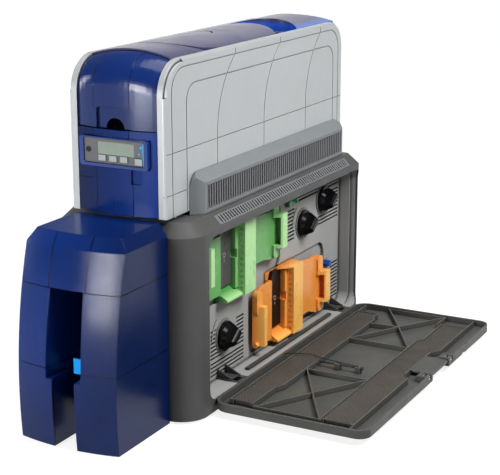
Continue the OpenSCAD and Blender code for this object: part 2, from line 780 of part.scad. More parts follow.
// Frame with two grips; lg and rg are the low and high edges of the grips, ear_z the left ear,
// low the low edges of the two plates
module cartridge(lg, rg, ear_z, low) {
    u1 = cart_len;
    rg0 = u1 - 29;
    top = cart_h;
    difference() {
        union() {
            // upright bar with one round corner
            along_x(cart_x0, cart_x1) {
                translate([bar_u[0], 0]) square([bar_u[1] - bar_u[0], top - 5]);
                translate([bar_u[0] + 5, 0]) square([bar_u[1] - bar_u[0] - 5, top]);
                translate([bar_u[0] + 5, top - 5]) circle(5);
            }
            // roof, floor and back of the open channel
            translate([0, 0, top - 3]) linear_extrude(3) polygon([
                [cart_x0 + 5, 88], [cart_mid, 88], [cart_x1, 109], [cart_x1, 130], [cart_x0 + 5, 130]
            ]);
            along_y(60, 112) polygon([
                [cart_x0 + 4, 0], [cart_mid + 16, 0], [cart_mid + 16, 3], [cart_x0 + 4, 16]
            ]);
            block([cart_x0, 58, 4], [cart_x0 + 2.4, 110, top - 3]);
            block([cart_x0, 58, 8], [cart_mid + plate_t, 61, top - 14]);
            // rail beside the bar
            block([cart_x0, 100, 12], [cart_mid + 8, 110, top - 1]);
            // plates under the grips
            along_x(cart_mid, cart_mid + plate_t) {
                polygon([[6, low[0]], [61, low[0]], [61, top - 14], [18, top - 14], [6, top - 26]]);
                polygon([
                    [bar_u[1] - 1, low[1]], [u1 - 60, low[1]], [u1 - 26, low[2]], [u1 - 10, low[2]],
                    [u1 - 10, top - 18], [u1 - 26, top - 14], [bar_u[1] - 1, top - 9]
                ]);
            }
            // left grip and its ear
            translate([0, 0, lg[0]]) linear_extrude(lg[1] - lg[0])
                polygon([[cart_mid, 0], [cart_x1 - 2, 8], [cart_x1 - 2, 18], [cart_mid, 18]]);
            along_x(cart_mid, cart_mid + 9) round_rect(0, ear_z[0], 18, ear_z[1], 8);
            // right grip and its ears
            translate([0, 0, rg[0]]) linear_extrude(rg[1] - rg[0])
                polygon([[cart_mid, rg0], [cart_x1 - 2, rg0 + 12], [cart_x1 - 2, u1], [cart_mid, u1]]);
            along_x(cart_mid, cart_mid + 8)
                round_rect(rg0, rg[0] - 16, rg0 + 19, min(rg[1] + 28, top + 1), 8);
            // foot peg
            rod_y(-4, 4, cart_mid + 7, lg[0] + 3, 4);
        }
        // hollow bar, open at the back
        block([cart_x0 - eps, bar_u[0] + 3, 3], [cart_x1 - 3, bar_u[1] - 3, top - 3]);
        // teeth along the bar
        for (i = [0 : 10]) translate([0, bar_u[0], 8 + i * 9.4])
            block([cart_x1 - 9, -eps, 0], [cart_x1 - 4, 1.6, 4]);
        // hand recess
        block([cart_mid + 4, rg0 - eps, rg[0] + 6], [cart_x1 - 5, u1 - 6, rg[1] - 6]);
        // notch beside the core plate
        block([cart_mid - 2, 98, 60], [cart_mid + 9, 105, 74]);
        // bent edge of the front bar
        block([cart_x1 - 1, bar_u[1] - 7, 22], [cart_x1 + eps, bar_u[1] - 6, 48]);
    }
}

module orange_cartridge() {
    color("#e8952e") place() at_orange() cartridge([9, 75], [18, 73], [60, 100], [4, 11, 0]);
}

module green_cartridge() {
    color("#8fd07c") place() at_green() cartridge([38, 96], [41, 98], [11, 52], [11, 30, 24]);
}

module core_plate() {
    color("#3c3938") difference() {
        along_x(cart_x0 + 2.4, cart_mid) polygon([[61, 19], [100, 19], [100, 114], [72, 114], [61, 94]]);
        block([cart_mid - 2, 61 - eps, 54], [cart_mid + eps, 63, 70]);
        block([cart_mid - 2, 98, 60], [cart_mid + eps, 100 + eps, 74]);
    }
}

module orange_core_plate() place() at_orange() core_plate();
module green_core_plate() place() at_green() core_plate();

// Two spools of film behind the plates
module film_rolls() {
    x1 = cart_mid;
    x0 = x1 - film_w - 10;
    color("#6a5a58") for (u = film_u) {
        difference() {
            rod_x(x0 + 4, x1 - 2.5, u, film_w_mid, film_r);
            rod_x(x0, x1 - 3, u, film_w_mid, 9);
        }
        rod_x(x0, x1, u, film_w_mid, 9);
    }
}

module orange_film_rolls() place() at_orange() film_rolls();
module green_film_rolls() place() at_green() film_rolls();

// ---------- knobs, rollers and levers ----------

module knob(k) {
    color("#151517") place() translate([panel_x + 2, k[0], k[1]]) {
        difference() {
            union() {
                rotate([0, 90, 0]) cylinder(h = 4, r = knob_r);
                rotate([0, 90, 0]) cylinder(h = 9, r1 = knob_r - 1, r2 = knob_r - 9);
                rotate([35, 0, 0]) intersection() {
                    block([0, -knob_r + 2, -6], [knob_h - 2, knob_r - 2, 6]);
                    rotate([0, 90, 0]) cylinder(h = knob_h, r1 = knob_r + 3, r2 = 11);
                }
            }
            rotate([35, 0, 0]) for (s = [-1, 1]) translate([knob_h + 2, 0, s * 14]) rotate([90, 0, 0])
                cylinder(h = 60, r = 11, center = true);
            rotate([0, 90, 0]) translate([0, 0, -eps]) cylinder(h = 9, r = shaft_r);
        }
    }
}

module roller(k) {
    color("#8a8c90") place() {
        rod_x(works_x + 5, panel_x + 9, k[0], k[1], shaft_r);
        rod_x(works_x + 10, plate_x0 - 7, k[0], k[1], 11);
    }
}

module front_knob() knob(knob_front);
module middle_knob() knob(knob_middle);
module rear_knob() knob(knob_rear);
module front_roller() roller(knob_front);
module middle_roller() roller(knob_middle);
module rear_roller() roller(knob_rear);

module lever(v, a, c) {
    color(c) place() translate([0, v[0], v[1]]) {
        rod_x(plate_x0, panel_x + 4, 0, 0, 3);
        rotate([a, 0, 0]) {
            rod_x(panel_x + 2.3, panel_x + 8, 0, 0, 5.5);
            block([panel_x + 2.3, 0, -3.5], [panel_x + 7, 15, 3.5]);
            block([panel_x + 2.3, 11, -3.5], [panel_x + 14, 15, 3.5]);
        }
    }
}

module green_lever() lever(lever_green, 25, "#4fa765");
module blue_lever() lever(lever_blue, 160, "#2a5cc0");

// ---------- works behind the service panel ----------

motor_at = [300, 180];
module mechanism_frame() {
    color("#7c7f83") place() at_works() difference() {
        union() {
            along_x(0, 4) round_rect(60, 30, 582, 255, 12);
            for (y = [70, 300, 540]) block([-14, y, pan_top], [4, y + 30, pan_top + 3]);
            for (y = [70, 300, 540]) block([0, y, pan_top], [4, y + 30, 40]);
            for (k = [knob_front, knob_middle, knob_rear]) rod_x(-3, 9, k[0], k[1], 10);
        }
        for (k = [knob_front, knob_middle, knob_rear]) rod_x(-2, 10, k[0], k[1], shaft_r + fit_gap);
        rod_x(-eps, 5, motor_at[0], motor_at[1], 3 + fit_gap);
        along_x(-eps, 5) for (y = [210, 350, 480]) translate([y, 225]) circle(16);
        along_x(-eps, 5) round_rect(215, 120, 250, 180, 8);
    }
}

module laminating_head() {
    color("#54565a") place() at_works() {
        block([4, 326, 50], [68, 396, 74]);
        block([4, 332, 74], [60, 390, 100]);
        for (y = [345, 377]) rod_x(6, 66, y, 107, 8);
        block([4, 334, 99], [8, 388, 118]);
        block([58, 334, 99], [62, 388, 118]);
    }
}

module drive_motor() {
    y = motor_at[0];
    z = motor_at[1];
    color("#3f4144") place() at_works() {
        rod_x(-48, 0, y, z, 22);
        rod_x(-4, 0, y, z, 27);
        rod_x(0, 10, y, z, 3);
        block([-3, y - 30, z - 4], [0, y + 30, z + 4]);
    }
}

// ---------- card hopper ----------

hopper_t = 2.5;
slot_low_z = slot_top - slot_step - 25;
seam_w = 0.9;
seam_d = 0.8;

// Turned body whose side profile bulges below a bevel; inset draws every face in
module hopper_turn(inset) {
    z0 = hopper_z0 - inset;
    z1 = hopper_z1;
    r1 = hopper_plan_r - hopper_side_r + sqrt(pow(hopper_side_r, 2) - pow(z1 - hopper_belly_z, 2));
    run = 12.5;
    translate([0, hopper_yc, 0]) rotate([0, 0, -120]) rotate_extrude(angle = 60, $fn = 720)
        translate([-inset, 0]) intersection() {
            translate([hopper_plan_r - hopper_side_r, hopper_belly_z]) circle(hopper_side_r, $fn = 1440);
            polygon([
                [40, z0], [r1 + 4 * run, z0], [r1 + 4 * run, z1 - 4 * hopper_bevel],
                [r1 - run, hopper_top - inset], [40, hopper_top - inset]
            ]);
        }
}

module hopper_sides(inset, y0, y1) {
    w = hopper_x - inset;
    knee = hopper_z1 + 0.8;
    along_y(y0, y1) polygon([
        [-w, hopper_z0 - inset], [w, hopper_z0 - inset], [w, knee],
        [w - 12, hopper_top - inset], [12 - w, hopper_top - inset], [-w, knee]
    ]);
}

module hopper_form(inset) {
    intersection() {
        hopper_turn(inset);
        hopper_sides(inset, -hopper_d - 20, -0.4);
    }
}

// Inner wall of the card slot on one side: its front and back corners in plan
module slot_wall(front_x, front_y, back_x, z0, z1) {
    translate([0, 0, z0]) linear_extrude(z1 - z0) polygon([
        [front_x, front_y], [front_x + hopper_t, front_y], [back_x + hopper_t, slot_back], [back_x, slot_back]
    ]);
}

// Level seam that runs round one side of the hopper at height z
module side_seam(z, y0) {
    w = slot_w / 2;
    block([w, y0, z], [hopper_x + eps, -120, z + seam_w]);
    block([hopper_x - seam_d, y0, z], [hopper_x + eps, slot_back + 7, z + seam_w]);
}

slot_back = -69;
module hopper_cover() {
    w = slot_w / 2;
    wl = slot_low_w / 2;
    wb = 19;
    y0 = -hopper_d - 20;
    y1 = 2 - hopper_d;
    z_low = slot_low_z;
    seams = [slot_top - 1, z_low + 14];
    color("#1f3a93") place() difference() {
        union() {
            difference() {
                hopper_form(0);
                intersection() {
                    hopper_turn(hopper_t);
                    hopper_sides(hopper_t, y0, eps);
                }
                block([-w, y0, z_low], [w, slot_back, slot_top]);
                block([-wl, y0, hopper_z0 - eps], [wl, slot_back, z_low + eps]);
            }
            intersection() {
                hopper_form(0.2);
                union() {
                    both_sides() {
                        slot_wall(w, y1, wb, z_low, slot_top);
                        slot_wall(wl, y1 + 4, wl, hopper_z0, z_low);
                        translate([0, 0, z_low - hopper_t]) linear_extrude(hopper_t) polygon([
                            [wl, y1], [w + hopper_t, y1], [wb + hopper_t, slot_back], [wl, slot_back]
                        ]);
                    }
                    block([-w - 2, y1, slot_top], [w + 2, slot_back, slot_top + hopper_t]);
                }
            }
        }
        difference() {
            both_sides() {
                block([w + 1 - seam_w / 2, y0, slot_top], [w + 1 + seam_w / 2, -120, hopper_top]);
                for (z = seams) side_seam(z, y0);
            }
            hopper_turn(seam_d);
        }
        both_sides() for (z = seams)
            block([hopper_x - seam_d, -125, z], [hopper_x + eps, slot_back + 7, z + seam_w]);
    }
}

// Channel that holds the stack of cards
chute_y = slot_back;
module hopper_chute() {
    color("#131417") place() difference() {
        block([-30, chute_y, 40], [30, -0.3, 226]);
        block([-28, chute_y - eps, 42], [28, -4, 226 + eps]);
        block([-3, -6, 90], [3, -1.5, 215]);
    }
}

module card_lifter() {
    color("#1d9be0") place() {
        block([-27, chute_y + 1, 98], [27, -5.5, 101]);
        block([-9, chute_y - 38, 98], [9, chute_y + 2, 101]);
        block([-9, chute_y - 38, 101], [9, chute_y - 35.5, 120]);
        for (x = [-27, 24]) block([x, chute_y + 10, 84], [x + 3, -15, 98]);
        block([-2.6, -6, 94], [2.6, -3.5, 101]);
    }
}

// ---------- print engine ----------

bow_half = shell_x;
crown_top = engine_top + top_crown;
split_y = 45;

function arc_r(half, rise) = (half * half + rise * rise) / (2 * rise);
function arc_rise(x, half, rise) = sqrt(pow(arc_r(half, rise), 2) - x * x) - arc_r(half, rise) + rise;

// Side outline of the engine, drawn in by g
module engine_arch(g) {
    arch(engine_y0 + g, engine_y1 - g, engine_low, engine_top - g, nose_r - g, tail_r - g);
}

// Shell half outline with a round edge, drawn from the rim plane to the face
module shell_form(g) {
    e = shell_swell - 0.5;
    x0 = shell_x + 0.2;
    x1 = swell_x - g;
    y0 = engine_y0 + g;
    y1 = engine_y1 - g;
    z1 = engine_top - g;
    rn = nose_r - g;
    rt = tail_r - g;
    along_x(x0, x1 - e) arch(y0, y1, engine_low, z1, rn, rt);
    along_x(x0, x1) arch(y0 + e, y1 - e, engine_low, z1 - e, rn - e, rt - e);
    rod_y(y0 + rn, y1 - rt, x1 - e, z1 - e, e);
    translate([x1 - e, y0 + e, engine_low]) cylinder(h = z1 - rn - engine_low, r = e);
    translate([x1 - e, y1 - e, engine_low]) cylinder(h = z1 - rt - engine_low, r = e);
    translate([x1 - e, y0 + rn, z1 - rn]) rotate([0, -90, 0]) rotate([0, 0, 180])
        rotate_extrude(angle = 90) intersection() {
            translate([rn - e, 0]) circle(e);
            translate([1, -e]) square([rn, 2 * e]);
        }
    translate([x1 - e, y1 - rt, z1 - rt]) rotate([0, -90, 0]) rotate([0, 0, 90])
        rotate_extrude(angle = 90) intersection() {
            translate([rt - e, 0]) circle(e);
            translate([1, -e]) square([rt, 2 * e]);
        }
}

groove_w = 1.5;
groove_d = 0.9;
sweep_r = 140;
// Line that runs straight up and then bends back towards the tail
module sweep_line(y) {
    intersection() {
        difference() {
            translate([y + sweep_r, 400]) circle(sweep_r + groove_w / 2, $fn = 360);
            translate([y + sweep_r, 400]) circle(sweep_r - groove_w / 2, $fn = 360);
        }
        translate([y - 2, 400]) square([80, 113]);
    }
    translate([y - groove_w / 2, 352]) square([groove_w, 50]);
    translate([y + 56 - groove_w / 2, 511]) square([groove_w, 20]);
}

module ring_line(in_front, in_top, r) {
    u0 = engine_y0 + in_front;
    u1 = engine_y1 - in_front / 2 - 8;
    v1 = engine_top - in_top;
    w = groove_w + 0.3;
    difference() {
        arch(u0, u1, engine_low - eps, v1, r, r);
        arch(u0 + w, u1 - w, engine_low - 2 * eps, v1 - w, r - groove_w, r - groove_w);
    }
}

// Side outline of the shells from height z0 up, drawn in by g
module shell_outline(g, z0) {
    arch(engine_y0 + g, engine_y1 - g, z0, engine_top - g, nose_r - g, tail_r - g);
}

module shell() {
    color("#b4b8bb") difference() {
        shell_form(0);
        along_x(shell_x - eps, swell_x - 4) shell_outline(3.5, engine_low - eps);
        along_x(swell_x - groove_d, swell_x + eps) {
            ring_line(17, 10.5, 35);
            ring_line(57, 36, 27);
            for (y = [150, 299, 448]) sweep_line(y);
            translate([engine_y0, 394]) square([engine_len, 1]);
            translate([engine_y0, 335]) square([58, 1.2]);
        }
        translate([swell_x - 5.2, engine_y0 - eps, 334]) cube([6.2, eps + 0.7, 1.4]);
    }
}

module right_shell() place() shell();
module left_shell() place() mirror([1, 0, 0]) shell();

// Bowed front face: an upright cylinder of great radius
module bow(g, z0, z1) {
    r = arc_r(bow_half, front_bow);
    translate([0, engine_y0 - front_bow + r, z0]) cylinder(h = z1 - z0, r = r - g, $fn = 1440);
}

// Crowned top: a cylinder of great radius lying along Y
module crown(g, y0, y1) {
    r = arc_r(bow_half, top_crown);
    rod = crown_top - r;
    translate([0, y0, rod]) rotate([-90, 0, 0]) cylinder(h = y1 - y0, r = r - g, $fn = 1440);
}

keys_x = [frame_x0 + 37, frame_x0 + 55, frame_x0 + 73];
key_z = frame_low + 13;
key_h = 9;
round_key_at = [frame_x0 + 14, frame_low + 23];
menu_key_x = frame_x0 + 97;
menu_key_z = frame_low + 12;
key_face_y = bezel_y - 1.4;

module front_panel() {
    z0 = engine_low + 1;
    z1 = front_split - 1;
    color("#22409c") place() difference() {
        union() {
            intersection() {
                difference() {
                    bow(0, z0, z1);
                    bow(3, z0 - eps, z1 + eps);
                }
                block([-cover_x, engine_y0 - 2 * front_bow, z0], [cover_x, 40, z1]);
            }
            both_sides() block([cover_x - 3, engine_y0 - 0.5, z0], [cover_x, 40, z1]);
        }
        block([frame_x0 - 0.3, -20, frame_low - 0.3], [-frame_x0 + 0.3, 12, frame_z1 + 0.3]);
        difference() {
            union() {
                block([-64, -20, 353], [-31, 12, 353 + seam_w]);
                for (x = [-31, 29]) block([x, -20, z0 - eps], [x + seam_w, 12, frame_low]);
                for (x = [-36, 24]) block([x, -20, frame_z1], [x + seam_w, 12, z1 + eps]);
            }
            bow(seam_d, z0 - 2 * eps, z1 + 2 * eps);
        }
        block([27, -20, 350], [62, -2, 371]);
    }
}

// Outline of the bezel in (X, Z), drawn out by g
module bezel_outline(g) {
    round_rect(bezel_x0 - g, bezel_z0 - g, bezel_x1 + g, bezel_z1 + g, 2 + g);
}

module display_frame() {
    y0 = -8;
    color("#1b2c6e") place() difference() {
        along_y(y0, 7) round_rect(frame_x0, frame_low, -frame_x0, frame_z1, 4);
        along_y(y0 - eps, 5) bezel_outline(0.4);
        along_y(y0 + 6, 7 + eps) round_rect(frame_x0 + 3, frame_low + 3, frame_x0 + 6, frame_z1 - 3, 1.4);
    }
}

// Window for a flat key in the bezel
module key_window(x, z, h, cut) {
    w = key_w / 2 + fit_gap;
    block([x - w, bezel_y - eps, z - h / 2 - fit_gap], [x + w, bezel_y1 + eps, z + h / 2 - cut]);
}

module display_bezel() {
    y0 = bezel_y;
    y1 = bezel_y1;
    lcd_x1 = lcd_x0 + lcd_w;
    lcd_z1 = lcd_z0 + lcd_h;
    color("#8d9197") place() difference() {
        union() {
            along_y(y0, y1) bezel_outline(0);
            for (z = [bezel_z0 + 1, bezel_z1 - 3])
                block([bezel_x0 + 6, y1, z], [bezel_x1 - 1, y1 + 6.9, z + 2]);
        }
        block([lcd_x0, y0 - eps, lcd_z0], [lcd_x1, y0 + 1.6, lcd_z1]);
        block([lcd_x0 + 3, y0 - eps, lcd_z0 + 2.5], [lcd_x1 - 3, y1 + eps, lcd_z1 - 2.5]);
        for (x = keys_x) key_window(x, key_z, key_h, 0.6);
        key_window(menu_key_x, menu_key_z, 10, -fit_gap);
        rod_y(y0 - eps, y1 + eps, round_key_at[0], round_key_at[1], round_key_r + fit_gap);
        rod_y(y0 - eps, y0 + 1.5, menu_key_x + 3, frame_low + 32, 2);
        rod_y(y0 - eps, y0 + 1.5, menu_key_x, frame_low + 22.5, 1.6);
        translate([bezel_x1 - 2.6, y0 - eps, bezel_z0 + 3]) cube([1.6, 1.8, bezel_h - 6]);
    }
}

module lcd_screen() {
    color("#b9c8b4") place() translate([lcd_x0, bezel_y, lcd_z0]) {
        block([0.1, 0.4, 0.1], [lcd_w - 0.1, 1.6, lcd_h - 0.1]);
        block([3.1, 1.6, 2.6], [lcd_w - 3.1, 3.4, lcd_h - 2.6]);
    }
}

module status_lamps() {
    color("#39b8e8") place() {
        rod_y(bezel_y + 0.2, bezel_y + 1.5, menu_key_x + 3, frame_low + 32, 1.95);
        rod_y(bezel_y + 0.2, bezel_y + 1.5, menu_key_x, frame_low + 22.5, 1.55);
        translate([bezel_x1 - 2.55, bezel_y - 0.2, bezel_z0 + 3.05]) cube([1.5, 0.98, bezel_h - 6.1]);
    }
}

// Keys: drawn at rest, key_travel clear of their stop
module flat_key(x, z, h) {
    w = key_w / 2;
    z0 = z - h / 2;
    z1 = z + h / 2 - 0.7;
    color("#d5d8da") place() {
        along_y(key_face_y, bezel_y1 - 0.4) round_rect(x - w, z0, x + w, z1, 1);
        block([x - w + 1, bezel_y1 - 0.5, z0 + 1], [x + w - 1, bezel_y1 + 1, z1 - 1.3]);
    }
}

module soft_key_1() flat_key(keys_x[0], key_z, key_h);
module soft_key_2() flat_key(keys_x[1], key_z, key_h);
module soft_key_3() flat_key(keys_x[2], key_z, key_h);
module menu_key() flat_key(menu_key_x, menu_key_z, 10);

module round_key() {
    color("#d5d8da") place() {
        rod_y(key_face_y, bezel_y1 + 1, round_key_at[0], round_key_at[1], round_key_r);
    }
}

// ---------- covers on top of the engine ----------

door_axis = [35, 470];
visor_pin_r = 3;
visor_in = 5;
// Bowed and crowned nose, every face drawn in by g
module nose_form(g, n, seg) {
    hull() for (i = [-n : n]) {
        x = i * cover_x / n;
        y = engine_y0 - arc_rise(x, bow_half, front_bow) + nose_r;
        z = engine_top + arc_rise(x, bow_half, top_crown) - nose_r;
        r = nose_r - g;
        along_x(x - 0.4, x + 0.4) polygon(concat(
            [for (k = [0 : seg]) [y - r * sin(90 * k / seg), z + r * cos(90 * k / seg)]],
            [[y - r, 400], [70, 400], [70, z + r]]
        ));
    }
}

// Finger window in the front door: low strip with an arched top
module door_window(g) {
    intersection() {
        translate([-31 - g, front_split - 2]) square([58 + 2 * g, 33 + g]);
        translate([-2, front_split - 48]) circle(81 + g, $fn = 256);
    }
}

module front_door() {
    g = door_lap;
    color("#1d3f9e") place() difference() {
        union() {
            difference() {
                intersection() {
                    nose_form(g, 8, 22);
                    block([-cover_x, -30, front_split], [cover_x, split_y, 560]);
                }
                nose_form(g + 2.5, 5, 14);
                along_y(-20, 12) door_window(0);
            }
            intersection() {
                difference() {
                    bow(g + 4, front_split, front_split + 40);
                    bow(g + 6, front_split - eps, front_split + 41);
                }
                difference() {
                    along_y(-20, 12) door_window(1.5);
                    block([-70, -30, front_split - 4], [70, 30, front_split]);
                    along_y(-20, 12) translate([-1, front_split]) circle(15);
                }
            }
            difference() {
                along_y(-20, 12) door_window(2);
                along_y(-21, 13) door_window(0);
                bow(g + 6, front_split - 5, front_split + 60);
                block([-70, -30, front_split - 4], [70, 30, front_split]);
                difference() {
                    block([-70, -30, front_split - 4], [70, 30, 480]);
                    bow(g + 0.3, front_split - 5, 481);
                }
            }
            both_sides() along_x(cover_x - visor_in, cover_x - visor_in + 2.8) intersection() {
                translate([8, 434]) square([split_y - 8, 76]);
                translate([53, 473]) circle(nose_r - g - 1.5);
            }
        }
        both_sides() rod_x(cover_x - 8, cover_x + 2, door_axis[0], door_axis[1], visor_pin_r + fit_gap);
        difference() {
            union() {
                for (x = [-36, 24]) block([x, -30, front_split + 28], [x + seam_w, 50, 560]);
            }
            nose_form(g + seam_d, 8, 22);
        }
    }
}

top_cut = 560;
line_y = 110;
scoop_r = 110;
scoop_y = 225;
scoop_d = 6;
lid_arc_r = 65.5;
lid_arc_y = 185;
lid_back_r = 74.5;
lid_back_y = 327.5;
rear_arc_r = 73.6;
rear_arc_y = 406.4;
bay_floor = 507.5;
lid_axis = [396, 517];

module top_skin(d, t, y0, y1) {
    intersection() {
        difference() {
            crown(d, y0, y1);
            crown(d + t, y0 - eps, y1 + eps);
        }
        block([-cover_x, y0, 480], [cover_x, y1, top_cut]);
    }
}

// Plan disc that shapes the edges of the covers
module plan_disc(y, r) {
    translate([0, y, 440]) cylinder(h = 140, r = r, $fn = 256);
}

module top_front_cover() {
    y0 = split_y + 1;
    color("#332f66") place() difference() {
        union() {
            difference() {
                top_skin(0, cover_t, y0, lid_arc_y);
                plan_disc(scoop_y, scoop_r);
                difference() {
                    block([-70, line_y, 440], [70, line_y + 1, top_cut]);
                    crown(0.8, line_y - 5, line_y + 5);
                }
            }
            intersection() {
                top_skin(0, scoop_d + cover_t, y0, lid_arc_y);
                difference() {
                    plan_disc(scoop_y, scoop_r + 0.01);
                    plan_disc(scoop_y, scoop_r - 2);
                }
            }
            intersection() {
                top_skin(scoop_d, cover_t, y0, lid_arc_y);
                plan_disc(scoop_y, scoop_r);
            }
        }
        plan_disc(lid_arc_y, lid_arc_r + free_gap);
    }
}

module top_lid() {
    color("#3a3560") place() difference() {
        union() {
            intersection() {
                union() {
                    top_skin(0, cover_t, lid_arc_y - lid_arc_r, lid_back_y + lid_back_r);
                    intersection() {
                        top_skin(cover_t - 0.1, scoop_d - cover_t, lid_arc_y - lid_arc_r, lid_arc_y);
                        difference() {
                            plan_disc(lid_arc_y, lid_arc_r);
                            plan_disc(lid_arc_y, lid_arc_r - 2);
                        }
                    }
                }
                union() {
                    plan_disc(lid_arc_y, lid_arc_r);
                    block([-cover_x, lid_arc_y, 440], [cover_x, lid_back_y, top_cut]);
                    intersection() {
                        plan_disc(lid_back_y, lid_back_r);
                        block([-cover_x, lid_back_y - eps, 440], [cover_x, 420, top_cut]);
                    }
                }
            }
            both_sides() {
                rod_x(52, 56, lid_axis[0], lid_axis[1], 6);
                block([52, 362, lid_axis[1] + 1], [56, lid_axis[0], lid_axis[1] + 6]);
                block([52, 362, lid_axis[1] + 1], [56, 370, 525]);
            }
        }
        both_sides() rod_x(51, 57, lid_axis[0], lid_axis[1], 2.5 + fit_gap);
        intersection() {
            difference() {
                translate([-12, 256, 440]) cylinder(h = 140, r = 22);
                translate([-12, 251, 440]) cylinder(h = 140, r = 21.5);
            }
            block([-40, 258, 440], [20, 280, top_cut]);
            difference() {
                block([-40, 240, 440], [40, 300, top_cut]);
                crown(1.6, 239, 301);
            }
        }
    }
}

module top_rear_cover() {
    y1 = engine_y1;
    color("#332f66") place() {
        difference() {
            union() {
                difference() {
                    rear_form(0);
                    rear_form(cover_t);
                }
                intersection() {
                    rear_form(0.3);
                    difference() {
                        plan_disc(rear_arc_y, rear_arc_r + 2);
                        plan_disc(rear_arc_y, rear_arc_r - eps);
                        block([-70, 380, 400], [70, 600, bay_floor]);
                    }
                }
            }
            plan_disc(rear_arc_y, rear_arc_r);
            block([-70, 300, 400], [70, rear_arc_y, top_cut]);
        }
        // floor and sides of the bay behind the lid
        intersection() {
            block([-cover_x, 338, bay_floor], [cover_x, rear_arc_y + rear_arc_r, bay_floor + 2.5]);
            union() {
                plan_disc(rear_arc_y, rear_arc_r + 0.01);
                block([-70, 330, 500], [70, rear_arc_y, 515]);
            }
        }
        both_sides() {
            block([cover_x - 2, 338, bay_floor], [cover_x, 440, 519.5]);
            difference() {
                block([57, 388, bay_floor + 1], [60.5, 404, lid_axis[1] + 5]);
                rod_x(56, 64, lid_axis[0], lid_axis[1], 2.5);
            }
        }
    }
}

module rear_form(g) {
    intersection() {
        crown(g, 380, engine_y1 - g);
        along_x(g / 10 - cover_x - (g > 1 ? 4 : 0), cover_x - g / 10 + (g > 1 ? 4 : 0))
            arch(engine_y0, engine_y1 - g, 400, crown_top + 1, nose_r, tail_r - g);
        block([-cover_x - 5, 380, 480 - g], [cover_x + 5, engine_y1 - g, top_cut]);
    }
}

module engine_rear_panel() {
    color("#8d9093") place() difference() {
        block([-cover_x, engine_y1 - 3, engine_low + 1], [cover_x, engine_y1, 479]);
        for (i = [0 : 7]) block([-40, engine_y1 - 4, 350 + i * 10], [40, engine_y1 + eps, 354 + i * 10]);
    }
}

plate_in = shell_x + 0.2;
module engine_chassis() {
    color("#5a5d61") place() difference() {
        union() {
            block([-70, 44, deck_z], [70, 566, engine_low + 1]);
            block([0.3 - (swell_x - 4), 42, engine_low], [swell_x - 4.3, engine_y1 - 4.2, engine_low + 3]);
            both_sides() along_x(plate_in, plate_in + 2.8) shell_outline(4.2, engine_low);
            for (y = [200, 236]) block([-plate_in, y, 396], [plate_in, y + 3, 420]);
            block([-plate_in, 120, 306], [plate_in, 123, 400]);
        }
        both_sides() rod_x(plate_in - eps, plate_in + 4, door_axis[0], door_axis[1], visor_pin_r);
        both_sides() rod_x(plate_in - eps, plate_in + 4, 220, 440, 4 + fit_gap);
    }
}

module cover_pins() {
    color("#a9acb0") place() both_sides() {
        rod_x(cover_x - visor_in - 0.7, plate_in + 2.8, door_axis[0], door_axis[1], visor_pin_r);
        rod_x(51, 60.5, lid_axis[0], lid_axis[1], 2.5);
    }
}

module print_head() {
    color("#4a4c50") place() {
        block([-plate_in, 206, 462], [plate_in, 234, 486]);
        block([-48, 214, 450.5], [48, 226, 462]);
    }
}

module platen_roller() {
    color("#2c2c2e") place() {
        rod_x(-54, 54, 220, 440, 10);
        rod_x(-plate_in - 2.5, plate_in + 2.5, 220, 440, 4);
    }
}

base_housing();
base_pan();
rubber_feet();
service_panel();
hinge_brackets();
hinge_pins();
right_collar();
left_collar();
right_grille();
left_grille();
right_vent_strip();
left_vent_strip();
rear_panel();
power_inlet();
fan_frame();
fan_rotor();
mechanism_frame();
laminating_head();
drive_motor();
service_door();
door_catches();
cleaning_rod();
green_cartridge();
green_core_plate();
green_film_rolls();
orange_cartridge();
orange_core_plate();
orange_film_rolls();
front_knob();
middle_knob();
rear_knob();
front_roller();
middle_roller();
rear_roller();
green_lever();
blue_lever();
hopper_cover();
hopper_chute();
card_lifter();
engine_chassis();
right_shell();
left_shell();
front_panel();
display_frame();
display_bezel();
lcd_screen();
status_lamps();
round_key();
soft_key_1();
soft_key_2();
soft_key_3();
menu_key();
front_door();
top_front_cover();
top_lid();
top_rear_cover();
engine_rear_panel();
cover_pins();
print_head();
platen_roller();
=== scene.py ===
"""Card printer with a laminating base: finishes, small parts, light and camera round the solids."""

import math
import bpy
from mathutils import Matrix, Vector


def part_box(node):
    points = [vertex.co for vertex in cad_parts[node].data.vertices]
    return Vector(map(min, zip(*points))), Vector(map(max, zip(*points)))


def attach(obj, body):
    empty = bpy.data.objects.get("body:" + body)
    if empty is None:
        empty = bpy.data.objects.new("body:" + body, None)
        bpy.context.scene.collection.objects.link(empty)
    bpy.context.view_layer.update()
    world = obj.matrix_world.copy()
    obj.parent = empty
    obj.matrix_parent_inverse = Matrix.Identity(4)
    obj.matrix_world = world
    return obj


bl_info = {
    "name": "Card Printer",
    "version": (1, 0, 0),
    "blender": (4, 5, 0),
    "location": "View3D > Sidebar > Card Printer",
    "description": "Finishes and small parts for a card printer with a laminating base",
    "category": "Object",
}

import bmesh
import bpy
from bpy.props import FloatProperty, FloatVectorProperty, PointerProperty
from mathutils import Matrix, Vector

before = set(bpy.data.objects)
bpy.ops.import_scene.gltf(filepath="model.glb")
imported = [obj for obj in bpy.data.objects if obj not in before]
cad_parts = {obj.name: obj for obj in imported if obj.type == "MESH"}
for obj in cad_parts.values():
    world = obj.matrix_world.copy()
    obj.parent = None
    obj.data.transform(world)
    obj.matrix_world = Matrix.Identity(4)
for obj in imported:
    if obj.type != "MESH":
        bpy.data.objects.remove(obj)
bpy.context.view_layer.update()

# The machine is measured in millimetres from its centre plane, its housing's front and the floor.
# ORIGIN is the place of the frame's own origin in that measure.
ORIGIN = Vector((123.0, 226.0, 0.0))
MM = 0.001
WHITE = (1.0, 1.0, 1.0, 1.0)


